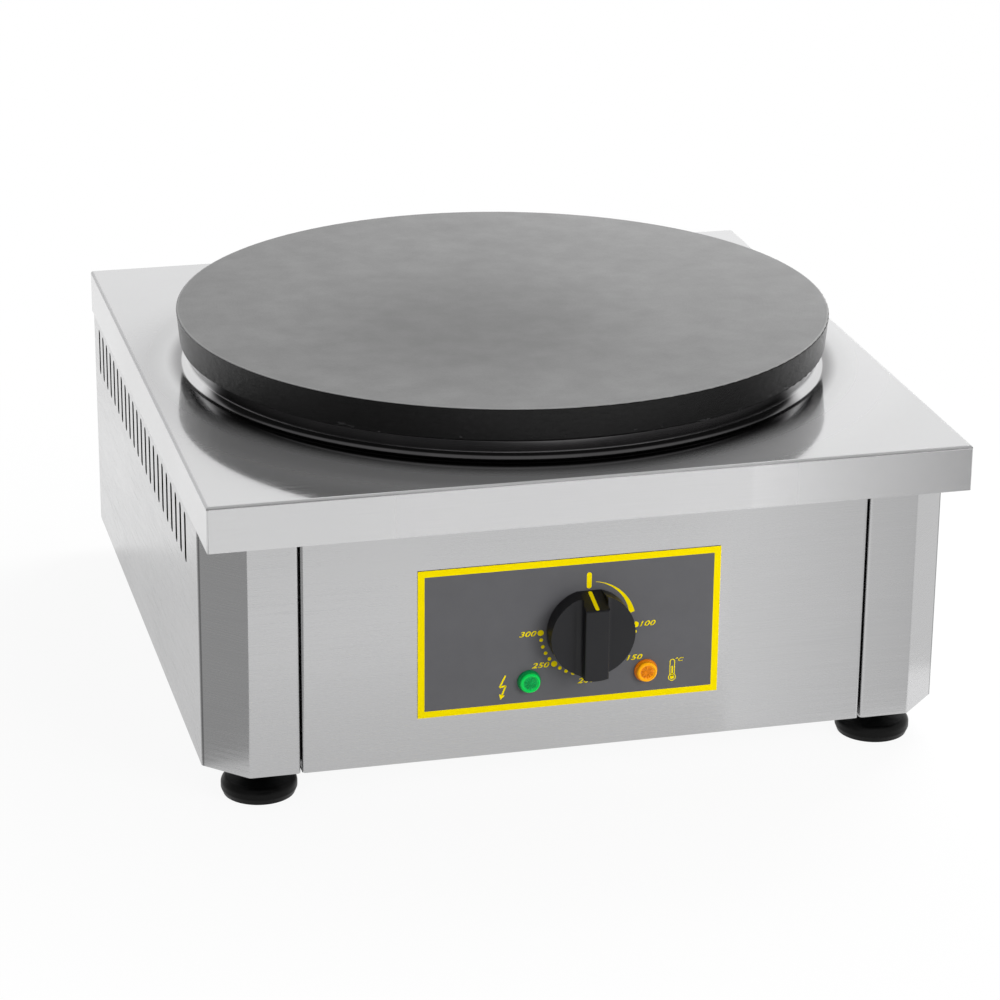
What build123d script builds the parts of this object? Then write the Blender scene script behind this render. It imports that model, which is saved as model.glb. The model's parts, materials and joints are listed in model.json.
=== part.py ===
from build123d import *
from math import asin, cos, degrees, pi, radians, sin
import os

os.makedirs("parts", exist_ok=True)

# Electric crepe maker: a round cast-iron griddle plate over a square stainless steel housing.
# Millimetres. +X is the operator's right, the front faces -Y, +Z is up.
# The origin is on the ground, under the middle of the overall outline.

# ---------------------------------------------------------------- housing sizes
tray_width = 450.0
tray_depth = 456.0
tray_sheet = 0.8
tray_bend = 2.0  # outer radius of the tray's folds
apron_height = 27.5
foot_height = 22.0  # ground to the housing's underside
body_height = 175.5  # housing's underside to the tray's top
panel_sheet = 1.0
panel_bend = 2.0  # outer radius of the panels' folds
panel_setback = 19.0  # front panel behind the tray's front edge
chamfer_leg = 24.0  # each leg of the cut front corners
front_strip = 29.7  # cheek's flat strip between its cut corner and the front panel's joint
panel_joint = 1.1  # open joint between the front panel and each cheek
front_return = 14.0  # inward folds at the joints
rear_return = 22.0  # cheek's fold behind the back panel's edge
bottom_flange = 20.0  # cheek's fold under the base plate
front_lip = 26.0  # front panel's fold under the base plate
base_sheet = 1.2
sheet_fit = 0.2  # between one folded sheet and the next
base_fit = 0.4

# ---------------------------------------------------------------- vents
slot_pitch = 16.5
slot_width = 6.0
slot_length = 30.8
slot_apron_gap = 6.0  # from the apron's lower edge to the slots' upper ends
slot_last_rear = 26.4  # last slot's centre to the tray's rear edge
slot_first_front = 36.0  # least distance from the cut corner to the first slot's centre
back_slot_count = 12

# ---------------------------------------------------------------- griddle plate and collar
plate_radius = 201.7
plate_offset = -3.5  # plate's axis behind (+) or ahead (-) of the tray's middle
plate_gap = 13.6  # tray's top to the rim's lower edge
rim_height = 20.4
rim_width = 12.0
web = 12.0  # plate's thickness inside the rim
rim_edge = 0.8
rim_draft = 2.0  # rim thickens by this much towards the web
rim_taper = 1.9  # rim's lower edge in from the plate's outline
boss_rise = 1.0  # bosses' ends over the rim's lower edge
collar_inset = 7.7  # collar's outside in from the plate's
collar_height = 12.0
collar_foot = 6.0

# ---------------------------------------------------------------- heating
tube_radius = 4.0
element_inset = 37.5  # outer ring's centre line in from the plate's edge
element_steps = {"inner": 0.303, "middle": 0.576, "outer": 1.0}  # rings' radii against the outer ring's
element_half_gap = 26.0
element_bend = 10.0
element_leg_end = 31.6  # leg's end under the bosses' ends
pin_radius = 1.6
pin_length = 14.0
pin_fit = 0.05
strap_width = 11.0
strap_sheet = 1.0
strap_up = 5.0  # bridge straps over the pins' lower ends
contact_gap = 0.1  # seated pieces that aren't fixed face to face
clamp_sheet = 2.0
clamp_inner = 34.0
clamp_inset = 12.5  # clamp plate's edge in from the rim's inside
clamp_window = 1.0  # around the rings where they bend down
stud_radius = 2.9
stud_fit = 0.1
long_stud_inset = 17.0  # from the outer ring's centre line
stud_bite = 11.5  # studs' and pillars' reach into the plate from the bosses' ends
stud_boss = 7.0
stud_end = 3.0  # thread beyond a nut
hole_floor = 0.5  # blind hole beyond its thread
socket_depth = 3.0  # how far the bosses stand into the web
nut_height = 5.0
nut_flats = 10.0
pad_thickness = 16.0
pad_gap = 9.1  # clamp plate's underside down to the insulation
pad_inset = 16.0  # pad's edge in from the plate's
shield_lap = 1.5  # shield's edge outside the pad's
shield_sheet = 1.0
shield_rim = 14.0
bulb_radius = 3.0
bulb_length = 90.0
bulb_inset = 5.0  # bulb's axis in from the pillars' ring
capillary_radius = 0.9
capillary_hole = 3.6
capillary_run = 21.0  # straight out of the bulb before it bends down
capillary_bend = 6.0
saddle_width = 8.0
saddle_sheet = 1.0

# ---------------------------------------------------------------- carrying frame
pillar_flats = 13.0
pillar_stud = 3.9
pillar_boss = 11.0
pillar_nut_height = 5.5
pass_hole = 9.0  # pillars' holes in the pad, shield and clamp plate
rail_width = 25.0
rail_height = 15.0
rail_sheet = 1.5
rail_drop = 7.2  # rail's top under the side slots' lower ends
rail_tab = 40.0

# ---------------------------------------------------------------- feet
foot_inset_x = 35.5  # stud's axis in from the tray's side edge
foot_inset_front = 30.0  # behind the front panel
foot_inset_rear = 45.0  # ahead of the tray's rear edge
foot_radius = 22.4
foot_sole_inset = 1.4
foot_rim_low = 3.4
foot_rim_high = 6.4
foot_shoulder_in = 3.6
foot_shoulder_height = 10.4
foot_hub = 11.5
foot_hub_height = 14.5
foot_hub_edge = 1.2
foot_stud = 4.95
thread_fit = 0.05
foot_socket_floor = 3.0
foot_socket_gap = 0.3
foot_hex_flats = 15.0
foot_hex_height = 3.5
foot_nut_height = 8.0
foot_nut_radius = 9.0
foot_stud_above = 12.0  # stud's end over its nut
foot_hole_fit = 1.0

# ---------------------------------------------------------------- base and back fastening
base_screw_count = 4  # each side
base_screw_gap = 60.0  # screws' rows clear of the feet by this much in all
front_screw_x = 60.0
base_screw_length = 7.0
back_screw_low = 26.0  # over the housing's underside
back_screw_high = 22.0  # uppermost screws under the apron's edge
back_screw_length = 8.0

# ---------------------------------------------------------------- controls
label_width = 180.9
label_height = 91.5
label_sheet = 0.5
label_center_x = -11.05
label_center_height = 73.3  # over the housing's underside
label_corner = 0.8
dial_height = 74.4  # over the housing's underside
lamp_spread = 35.3
lamp_height = 44.8  # over the housing's underside
knob_radius = 25.2
knob_gap = 0.6  # knob to faceplate
knob_disc = 12.0  # disc's face over the front panel
knob_grip = 20.6  # grip bar's face over the front panel
knob_bar = 14.4
knob_nose_inset = 6.2  # grip bar's upper end at its face, in from the knob's edge
knob_foot_inset = 0.7  # the same slope at the panel
knob_edge = 0.9
knob_root = 3.5  # hollow between the grip bar and the disc
pointer_width = 2.3
pointer_length = 18.4
pointer_groove = 0.5
pointer_start = 0.6  # over the knob's back face
pointer_fit = 0.05
spindle_radius = 3.0
spindle_fit = 0.05
spindle_hole = 4.5
spindle_cap = 1.5  # knob's disc in front of the spindle
spindle_bite = 9.0  # spindle inside the thermostat
thermostat_width = 42.0
thermostat_height = 34.0
thermostat_depth = 30.0
thermostat_flange = 1.5
thermostat_step = 2.0  # flange's sides outside the body's
thermostat_corner = 3.0
thermostat_screw_spread = 28.0
thermostat_screw_length = 9.0
tab_width = 6.3
tab_sheet = 0.8
tab_length = 8.0
tab_spread = 12.0
tab_drop = 10.0
screw_radius = 1.95
screw_fit = 0.25
screw_head = 3.8
screw_head_height = 2.4
lamp_fit = 0.1
lamp_body = 5.9
lamp_depth = 24.0
lens_flange = 7.0
lens_flange_height = 1.4
lens_radius = 6.1
lens_height = 4.2  # over the faceplate
lens_edge = 1.1
lamp_nut = 9.0
lamp_nut_height = 2.5

# ---------------------------------------------------------------- supply side
gland_inset = 74.0  # gland's axis in from the cheek's outer face
gland_height = 36.0  # over the housing's underside
gland_bore = 5.0
gland_thread = 9.9
gland_fit = 0.1
gland_flats = 24.0
gland_body = 6.0
gland_cap = 9.0
gland_nut_height = 5.0
gland_end = 3.0  # thread beyond its nut
bond_inset = 74.0  # stud's axis in from the other cheek's outer face
bond_stud = 2.95
bond_shank = 2.6  # between the nuts
bond_relief = 0.5  # shank's reach past the outer nut
bond_fit = 0.2
bond_length = 13.0
bond_nut_height = 4.0
bond_end_length = 2.0
terminal_width = 56.0
terminal_depth = 22.0
terminal_height = 18.0
terminal_setback = 62.0  # ahead of the back panel
terminal_pitch = 13.0
terminal_edge = 3.5  # screws' axes in from the block's ends
head_gap = 0.3
insert_size = 8.0
insert_fit = 0.1
insert_drop = 1.0  # inserts' tops under the block's top, and their ends behind its faces

# ---------------------------------------------------------------- internal leads
lead_radius = 1.4
lead_bend = 12.0
lead_spacing = 14.0
lamp_lead_radius = 0.8
lamp_lead_bend = 4.0
lamp_lead_gap = 2.4  # each tail beside the lamp's axis

# ---------------------------------------------------------------- derived places
back_fold = tray_sheet + sheet_fit  # cheeks' outer faces inside the apron's outer faces
cheek_x = tray_width / 2 - back_fold
back_panel_inset = back_fold + panel_sheet + sheet_fit / 2
front_panel_width = 2 * (cheek_x - chamfer_leg - front_strip - panel_joint)
gland_reach = gland_body + gland_cap
front_reach = tray_depth / 2 - panel_setback + knob_grip
rear_reach = tray_depth / 2 - back_panel_inset + gland_reach
mid_y = (front_reach - rear_reach) / 2

tray_front = mid_y - tray_depth / 2
tray_back = mid_y + tray_depth / 2
front_y = tray_front + panel_setback
cheek_back = tray_back - back_fold
back_y = tray_back - back_panel_inset
plate_y = mid_y + plate_offset

body_z = foot_height
tray_top = foot_height + body_height
tray_under = tray_top - tray_sheet
apron_z = tray_top - apron_height
wall_top = tray_top - tray_bend
base_under = body_z + panel_sheet
base_top = base_under + base_sheet

stud_hole = stud_radius + stud_fit
pillar_hole = pillar_stud + stud_fit
screw_hole = screw_radius + screw_fit
lamp_hole = lamp_body + lamp_fit
gland_hole = gland_thread + gland_fit
bond_hole = bond_shank + bond_fit
gland_x = cheek_x - gland_inset
bond_x = bond_inset - cheek_x

rim_inside = plate_radius - rim_width
collar_radius = plate_radius - collar_inset
pad_radius = plate_radius - pad_inset
shield_radius = pad_radius + shield_lap
clamp_outer = rim_inside - clamp_inset
outer_ring = plate_radius - element_inset
element_radii = {name: outer_ring * step for name, step in element_steps.items()}
short_stud_ring = (element_radii["inner"] + element_radii["middle"]) / 2
long_stud_ring = outer_ring - long_stud_inset
pillar_ring = (element_radii["middle"] + outer_ring) / 2
bulb_ring = pillar_ring - bulb_inset

rim_z = tray_top + plate_gap
plate_top = rim_z + rim_height
boss_z = rim_z + boss_rise
web_z = plate_top - web
tube_z = web_z - contact_gap - tube_radius
clamp_top = tube_z - tube_radius - contact_gap
clamp_under = clamp_top - clamp_sheet
pad_top = clamp_under - pad_gap
pad_under = pad_top - pad_thickness
shield_under = pad_under - shield_sheet
stud_top = boss_z + stud_bite
slot_top = apron_z - slot_apron_gap
rail_top = slot_top - slot_length - rail_drop
leg_end = boss_z - element_leg_end
strap_under = leg_end - pin_length + strap_up
over_rail = (rail_top + strap_under) / 2

dial_x = 0.0
dial_z = body_z + dial_height
lamp_z = body_z + lamp_height
hot_axis = Axis((0, plate_y, 0), (0, 0, 1))


def hot_plane(z):
    """A level plane centred on the plate's axis."""
    return Plane(origin=(0, plate_y, z))


hot_profile = Plane(origin=(0, plate_y, 0), x_dir=(1, 0, 0), z_dir=(0, -1, 0))


def front_plane(x, z, ahead):
    """A plane that faces the operator, this far ahead of the front panel."""
    return Plane(origin=(x, front_y - ahead, z), x_dir=(1, 0, 0), z_dir=(0, -1, 0))


def rear_plane(x, z, behind):
    """A plane that faces away from the operator, this far behind the back panel."""
    return Plane(origin=(x, back_y + behind, z), x_dir=(-1, 0, 0), z_dir=(0, 1, 0))


def save(part, name):
    part.label = name
    export_step(part, "parts/" + name + ".step")


def hexagon(flats):
    return RegularPolygon(flats / 2, 6, major_radius=False)


# ================================================================ griddle plate
pillar_angles = [45, 135, 225, 315]
short_stud_angles = [90, 210, 330]
long_stud_angles = [30, 150, 270]


def ring_points(radius, angles):
    return [(radius * cos(radians(a)), radius * sin(radians(a))) for a in angles]


pillar_points = ring_points(pillar_ring, pillar_angles)
short_stud_points = ring_points(short_stud_ring, short_stud_angles)
long_stud_points = ring_points(long_stud_ring, long_stud_angles)

with BuildPart() as griddle_plate:
    with BuildSketch(hot_profile):
        with BuildLine():
            Polyline(
                (0, web_z), (0, plate_top), (plate_radius, plate_top), (plate_radius - rim_taper, rim_z),
                (rim_inside, rim_z), (rim_inside - rim_draft, web_z), (0, web_z),
            )
        make_face()
    revolve(axis=hot_axis)
    fillet(griddle_plate.edges().filter_by(GeomType.CIRCLE).group_by(Axis.Z)[-1], rim_edge)
    lower_edges = griddle_plate.edges().filter_by(GeomType.CIRCLE).group_by(Axis.Z)[0]
    fillet(lower_edges.sort_by(SortBy.RADIUS)[-1], 2 * rim_edge)
    with BuildSketch(hot_plane(boss_z)):
        with Locations(*pillar_points):
            Circle(pillar_boss)
        with Locations(*short_stud_points, *long_stud_points):
            Circle(stud_boss)
    extrude(amount=web_z - boss_z + socket_depth)
    with BuildSketch(hot_plane(boss_z)):
        with Locations(*pillar_points):
            Circle(pillar_hole)
        with Locations(*short_stud_points, *long_stud_points):
            Circle(stud_hole)
    extrude(amount=stud_bite + hole_floor, mode=Mode.SUBTRACT)
save(griddle_plate.part, "griddle_plate")


# ================================================================ heating elements
def leg_place(ring):
    """Angle of a ring's end from the gap's middle, and the leg's place beside the plate's axis."""
    half = asin(element_half_gap / ring)
    turn = pi / 2 + half
    end_x = ring * cos(turn) + element_bend * sin(turn)
    end_y = ring * sin(turn) - element_bend * cos(turn)
    return half, turn, end_x, end_y


def heating_element(ring):
    """A sheathed ring, open at the rear, with both ends bent down through the pad."""
    half, turn, end_x, end_y = leg_place(ring)
    end_point = Vector(ring * cos(turn), plate_y + ring * sin(turn), tube_z)
    along = Vector(sin(turn), -cos(turn), 0)
    outward = Vector(cos(turn), sin(turn), 0)
    with BuildPart() as element:
        with BuildSketch(Plane(origin=end_point, x_dir=outward, z_dir=along)):
            Circle(tube_radius)
        revolve(axis=hot_axis, revolution_arc=180 - degrees(half))
        with BuildSketch(Plane(origin=end_point, x_dir=outward, z_dir=along)):
            Circle(tube_radius)
        bend_centre = end_point - Vector(0, 0, element_bend)
        revolve(axis=Axis(bend_centre, along.cross(Vector(0, 0, -1))), revolution_arc=90)
        with BuildSketch(hot_plane(leg_end)):
            with Locations((end_x, end_y)):
                Circle(tube_radius)
        extrude(amount=tube_z - element_bend - leg_end)
        mirror(about=Plane.YZ)
    return element.part


for ring_name, ring_radius in element_radii.items():
    save(heating_element(ring_radius), "element_" + ring_name)

leg_points = []
bend_points = []
for ring_radius in element_radii.values():
    _, turn, leg_x, leg_y = leg_place(ring_radius)
    bend_x = (leg_x + ring_radius * cos(turn)) / 2
    bend_y = (leg_y + ring_radius * sin(turn)) / 2
    leg_points += [(leg_x, leg_y), (-leg_x, leg_y)]
    bend_points += [(bend_x, bend_y), (-bend_x, bend_y)]

with BuildPart() as element_pins:
    with BuildSketch(hot_plane(leg_end)):
        with Locations(*leg_points):
            Circle(pin_radius)
    extrude(amount=-pin_length)
save(element_pins.part, "element_pins")

with BuildPart() as bridge_straps:
    leg_xs = [abs(x) for x, _ in leg_points]
    leg_ys = [y for _, y in leg_points]
    strap_x = (max(leg_xs) + min(leg_xs)) / 2
    strap_y = (max(leg_ys) + min(leg_ys)) / 2
    with BuildSketch(hot_plane(strap_under)):
        with Locations((-strap_x, strap_y), (strap_x, strap_y)):
            Rectangle(strap_width, max(leg_ys) - min(leg_ys) + strap_width)
        with Locations(*leg_points):
            Circle(pin_radius + pin_fit, mode=Mode.SUBTRACT)
    extrude(amount=strap_sheet)
save(bridge_straps.part, "bridge_straps")

capillary_x = -bulb_length / 2 - capillary_run
capillary_point = (capillary_x, -bulb_ring)

with BuildPart() as element_clamp:
    with BuildSketch(hot_plane(clamp_under)):
        Circle(clamp_outer)
        Circle(clamp_inner, mode=Mode.SUBTRACT)
        with Locations(*pillar_points):
            Circle(pass_hole, mode=Mode.SUBTRACT)
        with Locations(*short_stud_points, *long_stud_points):
            Circle(stud_radius + contact_gap, mode=Mode.SUBTRACT)
        with Locations(*bend_points):
            Circle(element_bend / 2 + tube_radius + clamp_window, mode=Mode.SUBTRACT)
        with Locations(capillary_point):
            Circle(capillary_hole, mode=Mode.SUBTRACT)
    extrude(amount=clamp_sheet)
save(element_clamp.part, "element_clamp")


def studs(points, radius, low, high):
    with BuildPart() as group:
        with BuildSketch(hot_plane(low)):
            with Locations(*points):
                Circle(radius)
        extrude(amount=high - low)
    return group.part


def nuts(points, flats, bore, low, height):
    with BuildPart() as group:
        with BuildSketch(hot_plane(low)):
            with Locations(*points):
                hexagon(flats)
                Circle(bore, mode=Mode.SUBTRACT)
        extrude(amount=height)
    return group.part


short_stud_low = clamp_under - nut_height - stud_end
long_stud_low = shield_under - nut_height - stud_end
save(studs(short_stud_points, stud_radius, short_stud_low, stud_top), "clamp_studs_short")
save(studs(long_stud_points, stud_radius, long_stud_low, stud_top), "clamp_studs_long")
all_stud_points = short_stud_points + long_stud_points
with BuildPart() as stud_nuts:
    add(nuts(all_stud_points, nut_flats, stud_hole, clamp_under - nut_height, nut_height))
    add(nuts(long_stud_points, nut_flats, stud_hole, shield_under - nut_height, nut_height))
save(stud_nuts.part, "stud_nuts")


def pass_holes():
    """Holes for what goes through the insulation and the shield."""
    with Locations(*pillar_points):
        Circle(pass_hole, mode=Mode.SUBTRACT)
    with Locations(*long_stud_points):
        Circle(stud_radius + contact_gap, mode=Mode.SUBTRACT)
    with Locations(*leg_points):
        Circle(tube_radius + contact_gap, mode=Mode.SUBTRACT)
    with Locations(capillary_point):
        Circle(capillary_hole, mode=Mode.SUBTRACT)


with BuildPart() as insulation_pad:
    with BuildSketch(hot_plane(pad_under)):
        Circle(pad_radius)
        pass_holes()
    extrude(amount=pad_thickness)
save(insulation_pad.part, "insulation_pad")

with BuildPart() as heat_shield:
    with BuildSketch(hot_plane(shield_under)):
        Circle(shield_radius)
        pass_holes()
    extrude(amount=shield_sheet)
    with BuildSketch(hot_plane(shield_under)):
        Circle(shield_radius)
        Circle(shield_radius - shield_sheet, mode=Mode.SUBTRACT)
    extrude(amount=shield_rim)
save(heat_shield.part, "heat_shield")

# ================================================================ pillars and cross rails
pillar_nut_z = rail_top - rail_sheet - pillar_nut_height
pillar_low = pillar_nut_z - stud_end

with BuildPart() as plate_pillars:
    with BuildSketch(hot_plane(rail_top)):
        with Locations(*pillar_points):
            hexagon(pillar_flats)
    extrude(amount=boss_z - rail_top)
    with BuildSketch(hot_plane(pillar_low)):
        with Locations(*pillar_points):
            Circle(pillar_stud)
    extrude(amount=stud_top - pillar_low)
save(plate_pillars.part, "plate_pillars")

save(nuts(pillar_points, pillar_flats, pillar_hole, pillar_nut_z, pillar_nut_height), "pillar_nuts")


def cross_rail(side):
    """A channel from cheek to cheek, open below, with a tab down each cheek. side is -1 front, 1 rear."""
    rail_y = side * pillar_ring * sin(radians(45))
    half_length = cheek_x - panel_sheet - sheet_fit
    tab_height = rail_tab - rail_height
    with BuildPart() as rail:
        with BuildSketch(hot_plane(rail_top - rail_height)):
            with Locations((0, rail_y)):
                Rectangle(2 * half_length, rail_width)
        extrude(amount=rail_height)
        fillet(rail.edges().filter_by(Axis.X).group_by(Axis.Z)[-1], rail_sheet)
        with BuildSketch(hot_plane(rail_top - rail_height)):
            with Locations((0, rail_y)):
                Rectangle(2 * half_length - 2 * rail_sheet, rail_width - 2 * rail_sheet)
        extrude(amount=rail_height - rail_sheet, mode=Mode.SUBTRACT)
        with BuildSketch(hot_plane(rail_top - rail_tab)):
            with Locations((rail_sheet / 2 - half_length, rail_y), (half_length - rail_sheet / 2, rail_y)):
                Rectangle(rail_sheet, rail_width)
        extrude(amount=tab_height)
        with BuildSketch(hot_plane(rail_top - rail_sheet)):
            with Locations(*[(x, y) for x, y in pillar_points if y * side > 0]):
                Circle(pillar_hole + sheet_fit)
        extrude(amount=rail_sheet, mode=Mode.SUBTRACT)
    return rail.part


save(cross_rail(-1), "cross_rail_front")
save(cross_rail(1), "cross_rail_rear")

# ================================================================ top tray, and the ring welded into its hole
hole_radius = collar_radius + collar_foot

with BuildPart() as top_tray:
    with BuildSketch(Plane(origin=(0, mid_y, apron_z))):
        Rectangle(tray_width, tray_depth)
    extrude(amount=apron_height)
    fillet(top_tray.edges().filter_by(Axis.Z), tray_bend / 2)
    fillet(top_tray.faces().sort_by(Axis.Z)[-1].edges(), tray_bend)
    with BuildSketch(Plane(origin=(0, mid_y, apron_z))):
        Rectangle(tray_width - 2 * tray_sheet, tray_depth - 2 * tray_sheet)
    extrude(amount=apron_height - tray_sheet, mode=Mode.SUBTRACT)
    inner_top = top_tray.faces().filter_by(Plane.XY).sort_by(Axis.Z)[-2]
    fillet(inner_top.edges(), tray_bend - tray_sheet)
    with BuildSketch(hot_plane(tray_under)):
        Circle(hole_radius)
    extrude(amount=tray_sheet, mode=Mode.SUBTRACT)
save(top_tray.part, "top_tray")

with BuildPart() as collar:
    collar_inside = collar_radius - tray_sheet
    collar_top = tray_top + collar_height
    rolled = tray_sheet / 2
    foot_centre = (hole_radius, tray_top + collar_foot)
    with BuildSketch(hot_profile):
        with BuildLine():
            CenterArc(foot_centre, collar_foot, 180, 90)
            Line((hole_radius, tray_top), (hole_radius, tray_under))
            CenterArc(foot_centre, collar_foot + tray_sheet, 180, 90)
            Line((collar_inside, tray_top + collar_foot), (collar_inside, collar_top - rolled))
            CenterArc((collar_inside + rolled, collar_top - rolled), rolled, 0, 180)
            Line((collar_radius, collar_top - rolled), (collar_radius, tray_top + collar_foot))
        make_face()
    revolve(axis=hot_axis)
save(collar.part, "collar")


# ================================================================ housing panels
def slot_centres():
    """Middles of the side vents, from the rearmost forward, as many as there is room for."""
    rear = tray_back - slot_last_rear
    count = int((rear - front_y - chamfer_leg - slot_first_front) / slot_pitch) + 1
    return [rear - i * slot_pitch for i in range(count)]


screw_row = panel_sheet + bottom_flange / 2
base_screw_pitch = (tray_depth - 2 * foot_inset_rear - base_screw_gap) / (base_screw_count - 1)
base_screw_rows = [
    mid_y + (i - (base_screw_count - 1) / 2) * base_screw_pitch for i in range(base_screw_count)
]
back_screw_x = cheek_x - rear_return / 2
lowest_back_screw = body_z + back_screw_low
highest_back_screw = apron_z - back_screw_high
middle_back_screw = (lowest_back_screw + highest_back_screw) / 2
back_screw_heights = [lowest_back_screw, middle_back_screw, highest_back_screw]


def cheek(side):
    """Side panel, cut corner and front strip in one folded sheet. side is -1 left, 1 right."""
    joint_x = front_panel_width / 2 + panel_joint
    outline = [
        (joint_x, front_y + front_return),
        (joint_x, front_y),
        (cheek_x - chamfer_leg, front_y),
        (cheek_x, front_y + chamfer_leg),
        (cheek_x, cheek_back),
        (cheek_x - rear_return, cheek_back),
    ]
    with BuildPart() as panel:
        with BuildSketch(Plane.XY.offset(body_z)):
            with BuildLine():
                FilletPolyline(*outline, radius=panel_bend)
                offset(amount=panel_sheet, side=Side.LEFT, kind=Kind.INTERSECTION)
            make_face()
        extrude(amount=wall_top - body_z)
        flange_x = cheek_x - panel_sheet - bottom_flange / 2
        flange_front = front_y + chamfer_leg + panel_bend
        flange_back = cheek_back - panel_sheet - panel_bend
        with BuildSketch(Plane.XY.offset(body_z)):
            with Locations((flange_x, (flange_front + flange_back) / 2)):
                Rectangle(bottom_flange + panel_sheet, flange_back - flange_front)
        extrude(amount=panel_sheet)
        side_plane = Plane(origin=(cheek_x, 0, 0), x_dir=(0, 1, 0), z_dir=(1, 0, 0))
        with BuildSketch(side_plane):
            with Locations(*[(y, slot_top - slot_length / 2) for y in slot_centres()]):
                SlotOverall(slot_length, slot_width, rotation=90)
        extrude(amount=-panel_sheet, mode=Mode.SUBTRACT)
        with BuildSketch(Plane.XY.offset(body_z)):
            with Locations(*[(cheek_x - screw_row, y) for y in base_screw_rows]):
                Circle(screw_hole)
        extrude(amount=panel_sheet, mode=Mode.SUBTRACT)
        with BuildSketch(rear_plane(0, 0, cheek_back - back_y)):
            with Locations(*[(-back_screw_x, z) for z in back_screw_heights]):
                Circle(screw_hole)
        extrude(amount=-panel_sheet, mode=Mode.SUBTRACT)
        if side < 0:
            mirror(about=Plane.YZ, mode=Mode.REPLACE)
    return panel.part


save(cheek(-1), "cheek_left")
save(cheek(1), "cheek_right")

front_screw_y = front_y + (front_return + front_lip) / 2

with BuildPart() as front_panel:
    with BuildSketch(Plane.XY.offset(body_z)):
        with Locations((0, front_y + front_return / 2)):
            Rectangle(front_panel_width, front_return)
    extrude(amount=tray_under - body_z)
    fillet(front_panel.edges().filter_by(Axis.Z).group_by(Axis.Y)[0], panel_bend)
    with BuildSketch(Plane.XY.offset(body_z + panel_sheet)):
        with Locations((0, front_y + panel_sheet + front_return / 2)):
            Rectangle(front_panel_width - 2 * panel_sheet, front_return)
    extrude(amount=tray_under - body_z - 2 * panel_sheet, mode=Mode.SUBTRACT)
    with BuildSketch(Plane.XY.offset(body_z)):
        with Locations((0, front_y + (front_return + front_lip) / 2)):
            Rectangle(front_panel_width - 4 * panel_bend, front_lip - front_return)
    extrude(amount=panel_sheet)
    with BuildSketch(Plane.XY.offset(body_z)):
        with Locations((-front_screw_x, front_screw_y), (front_screw_x, front_screw_y)):
            Circle(screw_hole)
    extrude(amount=panel_sheet, mode=Mode.SUBTRACT)
    with BuildSketch(front_plane(dial_x, 0, 0)):
        with Locations((0, dial_z)):
            Circle(spindle_hole)
        with Locations((-thermostat_screw_spread / 2, dial_z), (thermostat_screw_spread / 2, dial_z)):
            Circle(screw_hole)
        with Locations((-lamp_spread, lamp_z), (lamp_spread, lamp_z)):
            Circle(lamp_hole)
    extrude(amount=-panel_sheet, mode=Mode.SUBTRACT)
save(front_panel.part, "front_panel")

back_panel_x = cheek_x - panel_bend - sheet_fit
gland_z = body_z + gland_height
bond_z = gland_z
back_bottom = base_top + contact_gap

with BuildPart() as back_panel:
    with BuildSketch(Plane.XY.offset(back_bottom)):
        with Locations((0, back_y - panel_sheet / 2)):
            Rectangle(2 * back_panel_x, panel_sheet)
    extrude(amount=tray_under - back_bottom - panel_bend)
    with BuildSketch(Plane.XY.offset(back_bottom)):
        with Locations((0, back_y - front_return / 2)):
            Rectangle(2 * back_panel_x - 2 * bottom_flange, front_return)
    extrude(amount=panel_sheet)
    with BuildSketch(rear_plane(0, 0, 0)):
        slot_row = [(i - (back_slot_count - 1) / 2) * slot_pitch for i in range(back_slot_count)]
        with Locations(*[(x, slot_top - slot_length / 2) for x in slot_row]):
            SlotOverall(slot_length, slot_width, rotation=90)
        with Locations((-gland_x, gland_z)):
            Circle(gland_hole)
        with Locations((-bond_x, bond_z)):
            Circle(bond_hole)
        with Locations(*[(x, z) for z in back_screw_heights for x in (-back_screw_x, back_screw_x)]):
            Circle(screw_hole)
    extrude(amount=-panel_sheet, mode=Mode.SUBTRACT)
save(back_panel.part, "back_panel")

foot_x = tray_width / 2 - foot_inset_x
foot_front = front_y + foot_inset_front
foot_rear = tray_back - foot_inset_rear
foot_places = {
    "front_left": (-foot_x, foot_front),
    "front_right": (foot_x, foot_front),
    "rear_left": (-foot_x, foot_rear),
    "rear_right": (foot_x, foot_rear),
}
terminal_x = gland_x
terminal_y = back_y - terminal_setback
terminal_screw_x = terminal_width / 2 - terminal_edge

with BuildPart() as base_plate:
    base_front = front_y + front_return + base_fit
    base_x = cheek_x - panel_sheet - base_fit
    corner_y = front_y + chamfer_leg + panel_sheet + base_fit
    corner_x = base_x - (corner_y - base_front)
    base_back = back_y - panel_sheet - base_fit
    with BuildSketch(Plane.XY.offset(base_under)):
        with BuildLine():
            Polyline(
                (corner_x, base_front), (base_x, corner_y), (base_x, base_back),
                (-base_x, base_back), (-base_x, corner_y), (-corner_x, base_front),
                (corner_x, base_front),
            )
        make_face()
        with Locations(*foot_places.values()):
            Circle(foot_stud + foot_hole_fit, mode=Mode.SUBTRACT)
        side_rows = [(s * (cheek_x - screw_row), y) for s in (-1, 1) for y in base_screw_rows]
        front_rows = [(-front_screw_x, front_screw_y), (front_screw_x, front_screw_y)]
        terminal_rows = [(terminal_x + x, terminal_y) for x in (-terminal_screw_x, terminal_screw_x)]
        with Locations(*side_rows, *front_rows, *terminal_rows):
            Circle(screw_hole, mode=Mode.SUBTRACT)
        with Locations((0, plate_y)):
            with GridLocations(slot_pitch, 3 * slot_length, back_slot_count, 2):
                SlotOverall(2 * slot_length, slot_width, rotation=90, mode=Mode.SUBTRACT)
    extrude(amount=base_sheet)
save(base_plate.part, "base_plate")


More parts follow.
